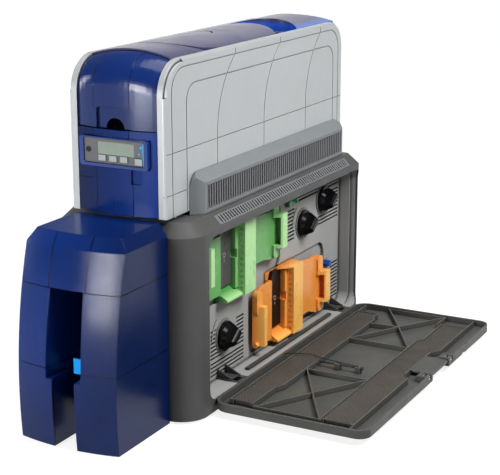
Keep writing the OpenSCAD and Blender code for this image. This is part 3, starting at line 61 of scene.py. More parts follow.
def at(x, y, z):
    """A point of the frame, in metres, from the machine's millimetres."""
    return (Vector((x, y, z)) - ORIGIN) * MM


def measured(point):
    """The machine's millimetres of a point of the frame."""
    return Vector(point) / MM + ORIGIN


# ---------- settings ----------


def colour_setting(name, note, value):
    """A colour that is opaque by default."""
    return FloatVectorProperty(
        name=name,
        description=note,
        subtype="COLOR",
        size=4,
        min=0.0,
        max=1.0,
        default=(*value, 1.0),
    )


def share_setting(name, note, value):
    """A share from 0 to 1."""
    return FloatProperty(
        name=name, description=note, subtype="FACTOR", min=0.0, max=1.0, default=value
    )


def length_setting(name, note, value, low, high):
    """A length in metres between two limits."""
    return FloatProperty(
        name=name, description=note, unit="LENGTH", precision=4, min=low, max=high, default=value
    )


def power_setting(name, note, value):
    """The power of a lamp in watts."""
    return FloatProperty(name=name, description=note, unit="POWER", min=0.0, default=value)


class HousingSettings(bpy.types.PropertyGroup):
    """Looks of the lower housing"""

    body: colour_setting("Housing", "Colour of the textured housing", (0.076, 0.077, 0.075))
    collar: colour_setting("Collar", "Colour of the collar round the engine", (0.184, 0.197, 0.203))
    slats: colour_setting("Slats", "Colour of the vents and grilles", (0.165, 0.17, 0.175))
    rough: share_setting("Roughness", "Roughness of the textured housing", 0.42)
    grain: length_setting("Grain", "Depth of the moulded grain", 0.00012, 0.0, 0.001)
    screw_d: length_setting("Screw", "Diameter of the screws on the back", 0.006, 0.003, 0.01)


class BaySettings(bpy.types.PropertyGroup):
    """Looks of the service bay and its cartridges"""

    panel: colour_setting("Panel", "Colour of the inner panel", (0.35, 0.352, 0.344))
    green: colour_setting("Green", "Colour of the upper cartridge", (0.44, 0.76, 0.34))
    # The deep colours are painted shade, for the sunken parts of each cartridge.
    green_shaded: colour_setting("Deep green", "Colour of its deep parts", (0.06, 0.30, 0.06))
    orange: colour_setting("Orange", "Colour of the lower cartridge", (1.0, 0.52, 0.12))
    orange_shaded: colour_setting("Deep orange", "Colour of its deep parts", (0.82, 0.25, 0.035))
    knob: colour_setting("Knobs", "Colour of the knobs", (0.005, 0.005, 0.006))


class DoorSettings(bpy.types.PropertyGroup):
    """Looks of the service door and the relief of its pads"""

    body: colour_setting("Door", "Colour of the door", (0.070, 0.070, 0.066))
    pad: colour_setting("Pads", "Colour of the two sunken pads", (0.066, 0.059, 0.051))
    pitch: length_setting("Diamond", "Size of one diamond of the pads", 0.0042, 0.002, 0.01)
    height: length_setting("Relief", "Height of a diamond", 0.0009, 0.0, 0.002)


class EngineSettings(bpy.types.PropertyGroup):
    """Looks of the print engine, its covers and the card hopper"""

    shell: colour_setting("Shells", "Colour of the silver side shells", (0.425, 0.445, 0.455))
    metal: share_setting("Metallic", "Share of metal flake in the silver", 0.25)
    blue: colour_setting("Blue", "Colour of the clear blue covers", (0.011, 0.062, 0.38))
    dusk: colour_setting("Dusk", "Colour of covers over the dark works", (0.045, 0.042, 0.115))
    bright: colour_setting("Bright", "Colour of the bay behind the lid", (0.02, 0.12, 0.55))
    clear: share_setting("Clearness", "Share of light that passes the covers", 0.5)
    screen: colour_setting("Screen", "Colour of the screen", (0.214, 0.265, 0.218))
    key: colour_setting("Keys", "Colour of the keys", (0.34, 0.365, 0.36))


class StageSettings(bpy.types.PropertyGroup):
    """The floor, the lamps and the lens"""

    floor: colour_setting("Floor", "Colour of the floor", (0.3, 0.3, 0.3))
    ambient: FloatProperty(
        name="Ambient", description="Strength of the even light", min=0.0, default=0.16
    )
    key: power_setting("Key", "Power of the main lamp", 54.0)
    front: power_setting("Front", "Power of the front lamp", 40.0)
    left: power_setting("Left", "Power of the left lamp", 8.0)
    back: power_setting("Back", "Power of the back lamp", 3.0)
    top: power_setting("Top", "Power of the top lamp", 14.0)
    lens: FloatProperty(
        name="Lens", description="Focal length", unit="CAMERA", min=20.0, default=99.9
    )


# ---------- nodes ----------

UNSTRETCHED = (1.0, 1.0, 1.0)
BEVEL_SAMPLES = 4
GROOVE_SAMPLES = 6

# The Mix node's two colours and its result, which share their names with its other kinds.
MIX_FIRST, MIX_SECOND, MIX_RESULT = 6, 7, 2


def surface(mat):
    """The shader of a material."""
    return mat.node_tree.nodes["Principled BSDF"]


def material(
    name, colour, rough, metallic=0.0, specular=0.5, coat=0.0, coat_rough=0.08, clear=0.0, ior=1.5
):
    """A surface whose even values stand on the shader's own sockets."""
    mat = bpy.data.materials.new(name)
    mat.use_nodes = True
    for socket, value in {
        "Base Color": (*colour[:3], 1.0),
        "Roughness": rough,
        "Metallic": metallic,
        "Specular IOR Level": specular,
        "Coat Weight": coat,
        "Coat Roughness": coat_rough,
        "Transmission Weight": clear,
        "IOR": ior,
    }.items():
        surface(mat).inputs[socket].default_value = value
    return mat


def node(owner, kind, **values):
    """A new node of a material or the world, with its fields and its inputs by name."""
    made = owner.node_tree.nodes.new("ShaderNode" + kind)
    for key, value in values.items():
        if key in made.inputs:
            made.inputs[key].default_value = value
        else:
            setattr(made, key, value)
    return made


def join(owner, source, target):
    """Links a node's output to another's input."""
    owner.node_tree.links.new(source, target)


def maths(owner, operation, *values):
    """A sum on some values; each is a number or another node's output."""
    made = node(owner, "Math", operation=operation)
    for socket, value in zip(made.inputs, values):
        if isinstance(value, bpy.types.NodeSocket):
            join(owner, value, socket)
        else:
            socket.default_value = value
    return made.outputs[0]


def ramp(owner, value, low, high, to_low, to_high):
    """A value carried from one range to another and held at its ends."""
    made = node(owner, "MapRange")
    for socket, number in zip(made.inputs[1:5], (low, high, to_low, to_high)):
        socket.default_value = number
    join(owner, value, made.inputs["Value"])
    return made.outputs["Result"]


def mix(mat, factor, first, second):
    """A colour between two others; each is a colour or another node's output."""
    made = node(mat, "Mix", data_type="RGBA")
    join(mat, factor, made.inputs["Factor"])
    for i, colour in ((MIX_FIRST, first), (MIX_SECOND, second)):
        if isinstance(colour, bpy.types.NodeSocket):
            join(mat, colour, made.inputs[i])
        else:
            made.inputs[i].default_value = (*colour[:3], 1.0)
    return made.outputs[MIX_RESULT]


def place_of(mat, stretch=UNSTRETCHED):
    """The object's own coordinates, stretched."""
    mapping = node(mat, "Mapping", Scale=stretch)
    join(mat, node(mat, "TexCoord").outputs["Object"], mapping.inputs["Vector"])
    return mapping.outputs["Vector"]


def axes_of(mat):
    """The object's own coordinates, an output for each axis."""
    split = node(mat, "SeparateXYZ")
    join(mat, place_of(mat), split.inputs["Vector"])
    return split.outputs


def noise(mat, scale, detail=2.0, stretch=UNSTRETCHED):
    """A smooth random value that is finer with a larger scale."""
    made = node(mat, "TexNoise", Scale=scale, Detail=detail, Roughness=0.55)
    join(mat, place_of(mat, stretch), made.inputs["Vector"])
    return made.outputs["Fac"]


def clouds(mat, scale, detail=2.0, share=1.0):
    """Soft clouds from 0 to a share."""
    return ramp(mat, noise(mat, scale, detail), 0.3, 0.7, 0.0, share)


def rounded(mat, radius):
    """The surface's normals, with its edges rounded over a radius."""
    return node(mat, "Bevel", samples=BEVEL_SAMPLES, Radius=radius).outputs["Normal"]


def edge_share(mat, radius):
    """1 along edges sharper than the radius, 0 on the faces between them."""
    match = node(mat, "VectorMath", operation="DOT_PRODUCT")
    join(mat, rounded(mat, radius), match.inputs[0])
    join(mat, node(mat, "NewGeometry").outputs["Normal"], match.inputs[1])
    return ramp(mat, match.outputs["Value"], 0.85, 0.99, 1.0, 0.0)


def joint_line(mat, axis, place, width, start, end):
    """1 within a joint that lies across an axis, between two heights."""
    axes = axes_of(mat)
    across = maths(mat, "COMPARE", axes[axis], place, width / 2)
    upward = maths(mat, "COMPARE", axes["Z"], (start + end) / 2, (end - start) / 2)
    return maths(mat, "MULTIPLY", across, upward)


def shade(colour, factor):
    """A colour made darker or lighter by a factor."""
    return tuple(min(1.0, c * factor) for c in colour[:3])


def mottled(mat, colour, share, scale):
    """Cloudy variation of a colour, a share darker to a share lighter."""
    darker, lighter = shade(colour, 1.0 - share), shade(colour, 1.0 + share)
    return mix(mat, clouds(mat, scale, 3.0), darker, lighter)


def gap_shaded(mat, colour, dark, reach):
    """A colour with painted shade, darker in seams and corners narrower than the reach."""
    near = node(mat, "AmbientOcclusion", samples=GROOVE_SAMPLES, Distance=reach)
    return mix(mat, ramp(mat, near.outputs["AO"], 0.45, 0.95, 0.0, 1.0), dark, colour)


def paint(mat, colour):
    """Gives the surface the colour of a node's output."""
    join(mat, colour, surface(mat).inputs["Base Color"])


def worn(mat, low, high, scale):
    """Roughness that wanders between two values."""
    wander = ramp(mat, noise(mat, scale, 4.0), 0.35, 0.65, low, high)
    join(mat, wander, surface(mat).inputs["Roughness"])


def relief(mat, edge, height=None, depth=0.0):
    """Normals of edges rounded over a radius, with the bumps of a height on them."""
    normal = rounded(mat, edge)
    if height is not None:
        bump = node(mat, "Bump", Distance=depth)
        join(mat, height, bump.inputs["Height"])
        join(mat, normal, bump.inputs["Normal"])
        normal = bump.outputs["Normal"]
    join(mat, normal, surface(mat).inputs["Normal"])


# ---------- finishes ----------

# Scales of the noise in each finish, in waves over a metre: clouds of colour, patches of wear and
# the finest texture.
MOULDED_CLOUDS, MOULDED_WEAR, MOULDED_GRAIN = 16.0, 38.0, 900.0
GLOSSY_CLOUDS, GLOSSY_WEAR, GLOSSY_FLOW = 22.0, 55.0, 60.0
SILVER_CLOUDS, SILVER_WEAR, SILVER_GRAIN, SILVER_FLAKE = 9.0, 45.0, 1900.0, 2600.0
CLEAR_CLOUDS, CLEAR_WEAR, CLEAR_FLOW = 5.5, 24.0, 35.0
CARTRIDGE_CLOUDS, CARTRIDGE_WEAR = 14.0, 20.0
STEEL_WEAR, STEEL_LINES = 140.0, 900.0
RUBBER_CLOUDS, RUBBER_GRAIN = 60.0, 1200.0
SCREEN_CLOUDS = 60.0

# Reaches of the painted shade that darkens the silver and the clear plastic in joints and corners.
SILVER_SHADE_REACH, CLEAR_SHADE_REACH = 0.0028, 0.0035


def moulded(
    name, colour, rough=0.42, grain=0.00012, edge=0.0006, share=0.05, gap=0.003, dark=0.4, edge_rub_and_highlight=0.0
):
    """Injection-moulded plastic with a fine spark texture and softened edges.

    The colour drifts by a share. Gaps and corners narrower than gap take painted shade, going to
    the share dark of the colour, and edges go paler by a share of their own, partly as wear and
    partly as a painted highlight.
    """
    mat = material(name, colour, rough, specular=0.6, ior=1.2)
    body = mottled(mat, colour, share, MOULDED_CLOUDS)
    # Paler edges: partly wear, partly a painted highlight.
    if edge_rub_and_highlight > 0.0:
        body = mix(mat, edge_share(mat, edge * 1.5), body, shade(colour, 1.0 + edge_rub_and_highlight))
    # Painted shade in gaps and corners.
    paint(mat, gap_shaded(mat, body, shade(colour, dark), gap))
    worn(mat, rough - 0.05, rough + 0.06, MOULDED_WEAR)
    relief(mat, edge, noise(mat, MOULDED_GRAIN), depth=grain)
    return mat


def glossy(name, colour, rough, share=0.06, specular=0.5):
    """Polished plastic with faint flow marks."""
    mat = material(name, colour, rough, specular=specular, ior=1.3)
    paint(mat, mottled(mat, colour, share, GLOSSY_CLOUDS))
    worn(mat, rough - 0.05, rough + 0.07, GLOSSY_WEAR)
    relief(mat, edge=0.0005, height=noise(mat, GLOSSY_FLOW), depth=0.00004)
    return mat


def silver_paint(name, colour, metallic):
    """Satin silver with fine flake, a painted highlight along its edges and painted shade in its
    joints and corners.
    """
    mat = material(name, colour, 0.36, metallic=metallic, coat=0.15, coat_rough=0.25)
    flake = ramp(mat, noise(mat, SILVER_FLAKE, 1.0), 0.35, 0.65, 0.0, 1.0)
    body = mix(mat, flake, shade(colour, 0.92), mottled(mat, colour, 0.03, SILVER_CLOUDS))
    # Painted highlight along the edges, then painted shade in joints and corners.
    body = mix(mat, edge_share(mat, 0.0012), body, shade(colour, 1.35))
    paint(mat, gap_shaded(mat, body, shade(colour, 0.1), SILVER_SHADE_REACH))
    worn(mat, 0.31, 0.41, SILVER_WEAR)
    relief(mat, edge=0.0007, height=noise(mat, SILVER_GRAIN, 1.0), depth=0.00004)
    return mat


def clear_blue(name, colour, deep, clear, rough=0.08, ior=1.46, fades=(), seams=()):
    """Tinted clear plastic, deeper along its clouds.

    fades are (axis, other end, plain end, other colour) along the piece, and seams are (axis,
    place, width, start, end) of dark joints, each from start to end along the height.
    """
    mat = material(name, colour, rough, specular=0.6, clear=clear, ior=ior)
    body = mix(mat, clouds(mat, CLEAR_CLOUDS, share=0.5), colour, deep)
    for axis, other_end, plain_end, other in fades:
        along = ramp(mat, axes_of(mat)[axis], other_end, plain_end, 0.0, 1.0)
        body = mix(mat, along, other, body)
    for seam in seams:
        body = mix(mat, joint_line(mat, *seam), body, shade(deep, 0.04))
    # Painted shade in gaps and corners.
    paint(mat, gap_shaded(mat, body, shade(deep, 0.2), CLEAR_SHADE_REACH))
    worn(mat, rough, rough + 0.06, CLEAR_WEAR)
    relief(mat, edge=0.0007, height=noise(mat, CLEAR_FLOW), depth=0.00005)
    return mat


def cartridge_plastic(name, face, deep, x_shaded, x_face):
    """Polished plastic with painted shade: paler on its proud faces, darker and richer where it
    lies deep.
    """
    mat = material(name, face, 0.27, ior=1.3)
    # Painted shade: the deeper a part lies, the darker and richer its colour.
    depth = ramp(mat, axes_of(mat)["X"], x_shaded, x_face, 0.0, 1.0)
    body = mix(mat, depth, deep, face)
    cloud = clouds(mat, CARTRIDGE_CLOUDS, 1.0, 0.08)
    paint(mat, mix(mat, cloud, body, shade(face, 0.8)))
    worn(mat, 0.23, 0.31, CARTRIDGE_WEAR)
    relief(mat, edge=0.0008)
    return mat


def steel(name, colour=(0.55, 0.56, 0.57), rough=0.28):
    """Drawn steel with fine lengthwise lines."""
    mat = material(name, colour, rough, metallic=1.0)
    lines = noise(mat, STEEL_LINES, 2.0, (1.0, 0.03, 1.0))
    paint(mat, mix(mat, lines, shade(colour, 0.8), colour))
    worn(mat, rough - 0.06, rough + 0.1, STEEL_WEAR)
    relief(mat, edge=0.0003, height=lines, depth=0.00003)
    return mat


def rubber(name, colour=(0.02, 0.02, 0.02)):
    """Dull rubber with a coarse grain."""
    mat = material(name, colour, 0.75, specular=0.35)
    paint(mat, mottled(mat, colour, 0.2, RUBBER_CLOUDS))
    relief(mat, edge=0.0005, height=noise(mat, RUBBER_GRAIN), depth=0.0002)
    return mat


def dress(mat, *names):
    """Puts a material on CAD nodes."""
    for name in names:
        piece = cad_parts[name]
        if not piece.material_slots:
            piece.data.materials.append(mat)
        for slot in piece.material_slots:
            slot.link = "OBJECT"
            slot.material = mat


# ---------- small parts ----------

# Parts of a screw head, as shares of its diameter: its height, the rounding of its rim, and its
# recess's length, width and depth.
HEAD_HEIGHT, HEAD_ROUNDING = 0.28, 0.1
RECESS = (0.6, 0.12, 0.02)

# How the grid of diamonds is stretched on the slant, and how deep its rim is turned down.
DIAMOND_STRETCH = (0.8, 1.25, 1.0, 1.0)
SKIRT = 0.0002


def finished(bm, name, mat, body, smooth_angle=None):
    """A piece from a bmesh that stands in the frame's own coordinates."""
    mesh = bpy.data.meshes.new(name)
    bm.to_mesh(mesh)
    bm.free()
    mesh.materials.append(mat)
    piece = bpy.data.objects.new(name, mesh)
    bpy.context.scene.collection.objects.link(piece)
    if smooth_angle is not None:
        mesh.shade_smooth()
        mesh.set_sharp_from_angle(angle=math.radians(smooth_angle))
    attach(piece, body)


def inside(point, outline):
    """True if a plan point lies inside a closed outline."""
    found = False
    for (x0, y0), (x1, y1) in zip(outline, outline[1:] + outline[:1]):
        if (y0 > point.y) != (y1 > point.y):
            if point.x < (x1 - x0) * (point.y - y0) / (y1 - y0) + x0:
                found = not found
    return found


def diamond_sheet(bm, outline, z, pitch, height):
    """A sheet of low pyramids on the slant, cut to an outline in millimetres, at height z."""
    points = [tuple(at(x, y, 0)[:2]) for x, y in outline]
    xs, ys = zip(*points)
    middle = Vector(((min(xs) + max(xs)) / 2, (min(ys) + max(ys)) / 2, z * MM))
    count = math.ceil(math.hypot(max(xs) - min(xs), max(ys) - min(ys)) / pitch)
    bmesh.ops.create_grid(bm, x_segments=count, y_segments=count, size=count * pitch / 2)
    slant = Matrix.Diagonal(DIAMOND_STRETCH) @ Matrix.Rotation(math.radians(45), 4, "Z")
    bmesh.ops.transform(bm, matrix=Matrix.Translation(middle) @ slant, verts=bm.verts)
    low, high = min(xs) - pitch, max(xs) + pitch
    far = [f for f in bm.faces if not (low < f.calc_center_median().x < high)]
    bmesh.ops.delete(bm, geom=far, context="FACES")
    bmesh.ops.poke(bm, faces=bm.faces, offset=height)
    for (x0, y0), (x1, y1) in zip(points, points[1:] + points[:1]):
        bmesh.ops.bisect_plane(
            bm,
            geom=bm.verts[:] + bm.edges[:] + bm.faces[:],
            plane_co=(x0, y0, 0),
            plane_no=(y1 - y0, x0 - x1, 0),
        )
    outer = [f for f in bm.faces if not inside(f.calc_center_median(), points)]
    bmesh.ops.delete(bm, geom=outer, context="FACES")
    rim = [e for e in bm.edges if e.is_boundary]
    for part in bmesh.ops.extrude_edge_only(bm, edges=rim)["geom"]:
        if isinstance(part, bmesh.types.BMVert):
            part.co.z = z * MM - SKIRT
    bmesh.ops.recalc_face_normals(bm, faces=bm.faces)


def screw(bm, centre, facing, size):
    """A domed screw head with a cross recess, added to a bmesh."""
    up = Vector(facing)
    turn = Vector((0, 0, 1)).rotation_difference(up).to_matrix().to_4x4()
    head = bmesh.ops.create_cone(
        bm,
        cap_ends=True,
        segments=24,
        radius1=size / 2,
        radius2=size / 2,
        depth=size * HEAD_HEIGHT,
        matrix=Matrix.Translation(centre) @ turn,
    )
    ends = {f for v in head["verts"] for f in v.link_faces if len(f.verts) > 4}
    cap = max(ends, key=lambda f: f.calc_center_median().dot(up))
    bmesh.ops.bevel(
        bm,
        geom=list(cap.edges),
        offset=size * HEAD_ROUNDING,
        affect="EDGES",
        segments=3,
        profile=0.5,
        material=-1,
    )
    top = Matrix.Translation(centre + up * (size * HEAD_HEIGHT / 2)) @ turn
    recess = Matrix.Diagonal((*(size * length for length in RECESS), 1.0))
    for spin in (0.0, math.pi / 2):
        bar = bmesh.ops.create_cube(
            bm, size=1.0, matrix=top @ Matrix.Rotation(spin, 4, "Z") @ recess
        )
        faces = {f for v in bar["verts"] for f in v.link_faces}
        bmesh.ops.recalc_face_normals(bm, faces=list(faces))


def ring(bm, centre, axis, outer, inner, depth):
    """A flat ring about an axis through its centre, with softened rims."""
    axis = Vector(axis)
    side = axis.orthogonal().normalized()
    soft = depth * 0.3
    outline = [
        (inner, 0),
        (outer, 0),
        (outer, depth - soft),
        (outer - soft, depth),
        (inner + soft, depth),
        (inner, depth - soft),
    ]
    verts = [bm.verts.new(Vector(centre) + side * r + axis * h) for r, h in outline]
    edges = [bm.edges.new(pair) for pair in zip(verts, verts[1:] + verts[:1])]
    bmesh.ops.spin(
        bm, geom=verts + edges, cent=centre, axis=axis, angle=math.tau, steps=32, use_merge=True
    )


def catch(bm, low, high, soft):
    """A small block with softened edges, given by its corners in millimetres."""
    low, high = at(*low), at(*high)
    block = Matrix.Translation((low + high) / 2) @ Matrix.Diagonal((*(high - low), 1.0))
    made = bmesh.ops.create_cube(bm, size=1.0, matrix=block)
    edges = {e for v in made["verts"] for e in v.link_edges}
    bmesh.ops.bevel(
        bm,
        geom=list(edges),
        offset=soft,
        affect="EDGES",
        segments=2,
        profile=0.5,
        material=-1,
    )


def strap(bm, points, radius):
    """A round strap through points in millimetres."""
    path = [at(*point) for point in points]
    rows = []
    for i, here in enumerate(path):
        ahead = (path[min(i + 1, len(path) - 1)] - path[max(i - 1, 0)]).normalized()
        turn = Vector((0, 0, 1)).rotation_difference(ahead).to_matrix().to_4x4()
        circle = bmesh.ops.create_circle(
            bm, segments=10, radius=radius, matrix=Matrix.Translation(here) @ turn
        )
        rows.append(circle["verts"])
    for pair in zip(rows, rows[1:]):
        edges = {
            e for row in pair for v in row for e in v.link_edges if all(w in row for w in e.verts)
        }
        bmesh.ops.bridge_loops(bm, edges=list(edges))
    for row in (rows[0], rows[-1]):
        bmesh.ops.contextual_create(bm, geom=row)
    bmesh.ops.recalc_face_normals(bm, faces=bm.faces)


def curve_through(points, steps):
    """Points along a smooth curve through the given ones."""
    path = []
    chain = [Vector(point) for point in (points[0], *points, points[-1])]
    for a, b, c, d in zip(chain, chain[1:], chain[2:], chain[3:]):
        square, cube = 2 * a - 5 * b + 4 * c - d, 3 * b - a - 3 * c + d
        for i in range(steps):
            t = i / steps
            path.append((2 * b + (c - a) * t + square * t**2 + cube * t**3) / 2)
    return [*path, chain[-1]]


# ---------- operators: one for each group of pieces ----------

# Places across and up of the screws in the engine's rear panel, in millimetres, and how far the
# middle of a head stands off the panel, as a share of its diameter.
REAR_SCREWS = [(x, z) for x in (-58, 58) for z in (312, 372, 432)]
SCREW_PROUD = 0.1


class CARDPRINTER_OT_housing(bpy.types.Operator):
    """Finish the lower housing, its collar, vents and back"""

    bl_idname = "cardprinter.housing"
    bl_label = "Housing"

    def execute(self, context):
        s = context.scene.printer_housing
        # Paler edges on housing and collar are partly wear and partly a painted highlight; every
        # moulded finish takes painted shade in its gaps.
        body = moulded("housing_grey", s.body, s.rough, s.grain, edge=0.0012, edge_rub_and_highlight=0.4)
        collar = moulded("collar_grey", s.collar, 0.36, s.grain * 0.6, edge=0.0010, edge_rub_and_highlight=0.5)
        slats = moulded("slat_grey", s.slats, 0.45, s.grain * 0.6, edge=0.0003)
        dress(body, "base_housing")
        dress(collar, "right_collar", "left_collar")
        dress(slats, "right_grille", "left_grille", "right_vent_strip", "left_vent_strip")
        dress(moulded("back_grey", shade(s.body, 0.5), 0.5, s.grain), "rear_panel", "base_pan")
        dress(rubber("foot_rubber"), "rubber_feet")
        dress(glossy("inlet_black", (0.015, 0.015, 0.016), 0.3), "power_inlet")
        dress(moulded("fan_black", (0.02, 0.021, 0.022), 0.4), "fan_frame", "fan_rotor")
        bm = bmesh.new()
        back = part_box("engine_rear_panel")[1].y
        for x, z in REAR_SCREWS:
            centre = at(x, 0, z)
            centre.y = back + s.screw_d * SCREW_PROUD
            screw(bm, centre, (0, 1, 0), s.screw_d)
        head = steel("screw_steel", (0.32, 0.32, 0.33), 0.35)
        finished(bm, "rear_screws", head, "base", smooth_angle=40)
        return {"FINISHED"}


class CARDPRINTER_OT_bay(bpy.types.Operator):
    """Finish the inner panel, its knobs and levers and the works behind it"""

    bl_idname = "cardprinter.bay"
    bl_label = "Service bay"

    def execute(self, context):
        s = context.scene.printer_bay
        # Strong painted shade in the panel's gaps and corners, and paler edges that are partly wear
        # and partly a painted highlight.
        panel = moulded(
            "panel_grey", s.panel, 0.4, 0.00008, edge=0.0007, gap=0.006, dark=0.06, edge_rub_and_highlight=0.2
        )
        knob = glossy("knob_black", s.knob, 0.2, specular=0.25)
        roller = steel("roller_steel", (0.5, 0.51, 0.52))
        dress(panel, "service_panel")
        dress(moulded("bracket_grey", (0.06, 0.06, 0.062), 0.42), "hinge_brackets")
        dress(steel("pin_steel"), "hinge_pins")
        dress(knob, "front_knob", "middle_knob", "rear_knob")
        dress(roller, "front_roller", "middle_roller", "rear_roller")
        dress(glossy("lever_green", (0.06, 0.36, 0.14), 0.2), "green_lever")
        dress(glossy("lever_blue", (0.02, 0.09, 0.55), 0.2), "blue_lever")
        dress(steel("frame_steel", (0.42, 0.43, 0.44), 0.38), "mechanism_frame")
        dress(moulded("head_grey", (0.09, 0.092, 0.1), 0.4), "laminating_head")
        dress(moulded("motor_black", (0.05, 0.052, 0.055), 0.35), "drive_motor")
        return {"FINISHED"}


# From where to where a cartridge's colour goes from its painted shade, where it lies deep, to its
# face colour, in millimetres across.
CARTRIDGE_SHADED, CARTRIDGE_FACE = 85, 101

# Colours of the two core plates.
CORE_TONES = {"green": (0.085, 0.078, 0.082), "orange": (0.006, 0.004, 0.004)}

# The ring mark of a core plate: how far it is sunk and stands in front of the plate's middle, in
# millimetres, its level as a share of the plate's height, and its radii and height in metres.
MARK_SUNK, MARK_AHEAD, MARK_LEVEL = 0.1, 2, 0.52
MARK_RING = (0.0042, 0.0028, 0.0007)

# The catch under it: its corners from the ring's centre, in millimetres, and its rounding.
CATCH_LOW, CATCH_HIGH = Vector((0, -1, -11)), Vector((0.6, 1, -7))
CATCH_EDGE = 0.0002


class CARDPRINTER_OT_cartridges(bpy.types.Operator):
    """Finish the two film cartridges"""

    bl_idname = "cardprinter.cartridges"
    bl_label = "Cartridges"

    def execute(self, context):
        s = context.scene.printer_bay
        depths = at(CARTRIDGE_SHADED, 0, 0).x, at(CARTRIDGE_FACE, 0, 0).x
        green = cartridge_plastic("cartridge_green", s.green, s.green_shaded, *depths)
        orange = cartridge_plastic("cartridge_orange", s.orange, s.orange_shaded, *depths)
        dress(green, "green_cartridge")
        dress(orange, "orange_cartridge")
        for colour, tone in CORE_TONES.items():
            core = glossy(f"core_{colour}", tone, 0.3, share=0.2)
            dress(core, f"{colour}_core_plate")
            low, high = (measured(corner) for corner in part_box(f"{colour}_core_plate"))
            x, y = high.x - MARK_SUNK, (low.y + high.y) / 2 - MARK_AHEAD
            centre = Vector((x, y, low.z + (high.z - low.z) * MARK_LEVEL))
            bm = bmesh.new()
            ring(bm, at(*centre), (1, 0, 0), *MARK_RING)
            catch(bm, centre + CATCH_LOW, centre + CATCH_HIGH, CATCH_EDGE)
            bmesh.ops.recalc_face_normals(bm, faces=bm.faces)
            mark = glossy(f"mark_{colour}", (0.3, 0.29, 0.28), 0.3)
            rider = f"{colour}_cartridge"
            finished(bm, f"{colour}_core_ring", mark, rider, smooth_angle=40)
        film = glossy("film_amber", (0.10, 0.07, 0.06), 0.12, share=0.1)
        dress(film, "green_film_rolls", "orange_film_rolls")
        return {"FINISHED"}


# Outlines of the door's pads, from the housing's side and from its front, and how far their
# diamonds start under the top of the door. All are in millimetres.
HOUSING_SIDE = 120
PADS = {
    "pad_a": [
        (19, 80), (54, 80), (54, 152), (61, 167), (61, 516), (55, 524), (55, 546), (19, 546),
    ],
    "pad_b": [
        (168, 73), (217, 73), (217, 278), (206, 294), (206, 402), (217, 418), (217, 546),
        (176, 546), (176, 458), (168, 446),
    ],
}
PAD_SUNK = 3.1

# The cleaning rod's strap: points on it in millimetres, and its radius.
ROD_STRAP = [
    (253, 283.5, 24.6), (215, 287.5, 24.9), (187.5, 292.2, 24.9), (164.9, 298.7, 24.9),
    (138.9, 291.2, 24.9), (124.4, 283.6, 24.6),
]
STRAP_RADIUS = 0.0009


class CARDPRINTER_OT_door(bpy.types.Operator):
    """Finish the service door and lay its two diamond pads"""

    bl_idname = "cardprinter.door"
    bl_label = "Service door"

    def execute(self, context):
        s = context.scene.printer_door
        # The door's edges go much paler, mostly a painted highlight with some wear, and its gaps
        # take painted shade.
        body = moulded("door_grey", s.body, 0.38, 0.00009, edge=0.0008, share=0.08, edge_rub_and_highlight=1.5)
        dress(body, "service_door")
        dress(steel("catch_steel", (0.5, 0.5, 0.5)), "door_catches")
        dress(glossy("rod_black", (0.02, 0.02, 0.021), 0.25), "cleaning_rod")
        bm = bmesh.new()
        strap(bm, curve_through(ROD_STRAP, steps=8), STRAP_RADIUS)
        black = rubber("strap_black")
        finished(bm, "rod_strap", black, "service_door", smooth_angle=60)
        pad = moulded("pad_brown", s.pad, 0.5, 0.00008, share=0.12)
        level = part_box("service_door")[1].z / MM - PAD_SUNK
        for name, outline in PADS.items():
            plan = [(HOUSING_SIDE + x, y) for x, y in outline]
            bm = bmesh.new()
            diamond_sheet(bm, plan, level, s.pitch, s.height)
            finished(bm, name, pad, "service_door")
        return {"FINISHED"}


class CARDPRINTER_OT_engine(bpy.types.Operator):
    """Finish the silver shells and the works of the print engine"""

    bl_idname = "cardprinter.engine"
    bl_label = "Print engine"

    def execute(self, context):
        s = context.scene.printer_engine
        dress(silver_paint("shell_silver", s.shell, s.metal), "right_shell", "left_shell")
        dress(steel("chassis_steel", (0.35, 0.36, 0.38), 0.4), "engine_chassis", "cover_pins")
        dress(moulded("engine_back", (0.24, 0.25, 0.26), 0.4), "engine_rear_panel")
        dress(moulded("print_head_grey", (0.06, 0.062, 0.066), 0.35), "print_head")
        dress(rubber("platen_rubber", (0.03, 0.03, 0.032)), "platen_roller")
        return {"FINISHED"}


# The front panel has painted shade, darker at its left end, over PANEL_FADE, in millimetres across.
# The rear cover's sunken bay is BAY_DEPTH deep, and its bright blue goes dusky over BAY_FADE up
# from its floor, all in metres.
PANEL_FADE = (-60, 60)
BAY_DEPTH = 0.017
BAY_FADE = (0.006, 0.013)


class CARDPRINTER_OT_covers(bpy.types.Operator):
    """Finish the clear blue covers of the engine"""

    bl_idname = "cardprinter.covers"
    bl_label = "Blue covers"

    def execute(self, context):
        s = context.scene.printer_engine
        light, deep = shade(s.blue, 0.62), shade(s.blue, 0.3)
        dress(clear_blue("cover_blue", light, deep, s.clear, 0.15, 1.36), "front_door")

        # Painted shade towards the panel's left end.
        ends = [at(x, 0, 0).x for x in PANEL_FADE]
        fades = [("X", *ends, shade(s.blue, 0.25))]
        light, deep = shade(s.blue, 1.1), shade(s.blue, 0.8)
        panel = clear_blue("panel_blue", light, deep, s.clear, 0.14, 1.22, fades)
        dress(panel, "front_panel")

        deep = shade(s.dusk, 0.7)
        dress(clear_blue("cover_dusk", s.dusk, deep, 0.0, 0.2), "top_front_cover", "top_lid")
        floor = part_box("top_rear_cover")[1].z - BAY_DEPTH
        fades = [("Z", *(floor + height for height in BAY_FADE), s.bright)]
        dress(clear_blue("rear_dusk", s.dusk, deep, 0.0, 0.2, fades=fades), "top_rear_cover")
        return {"FINISHED"}


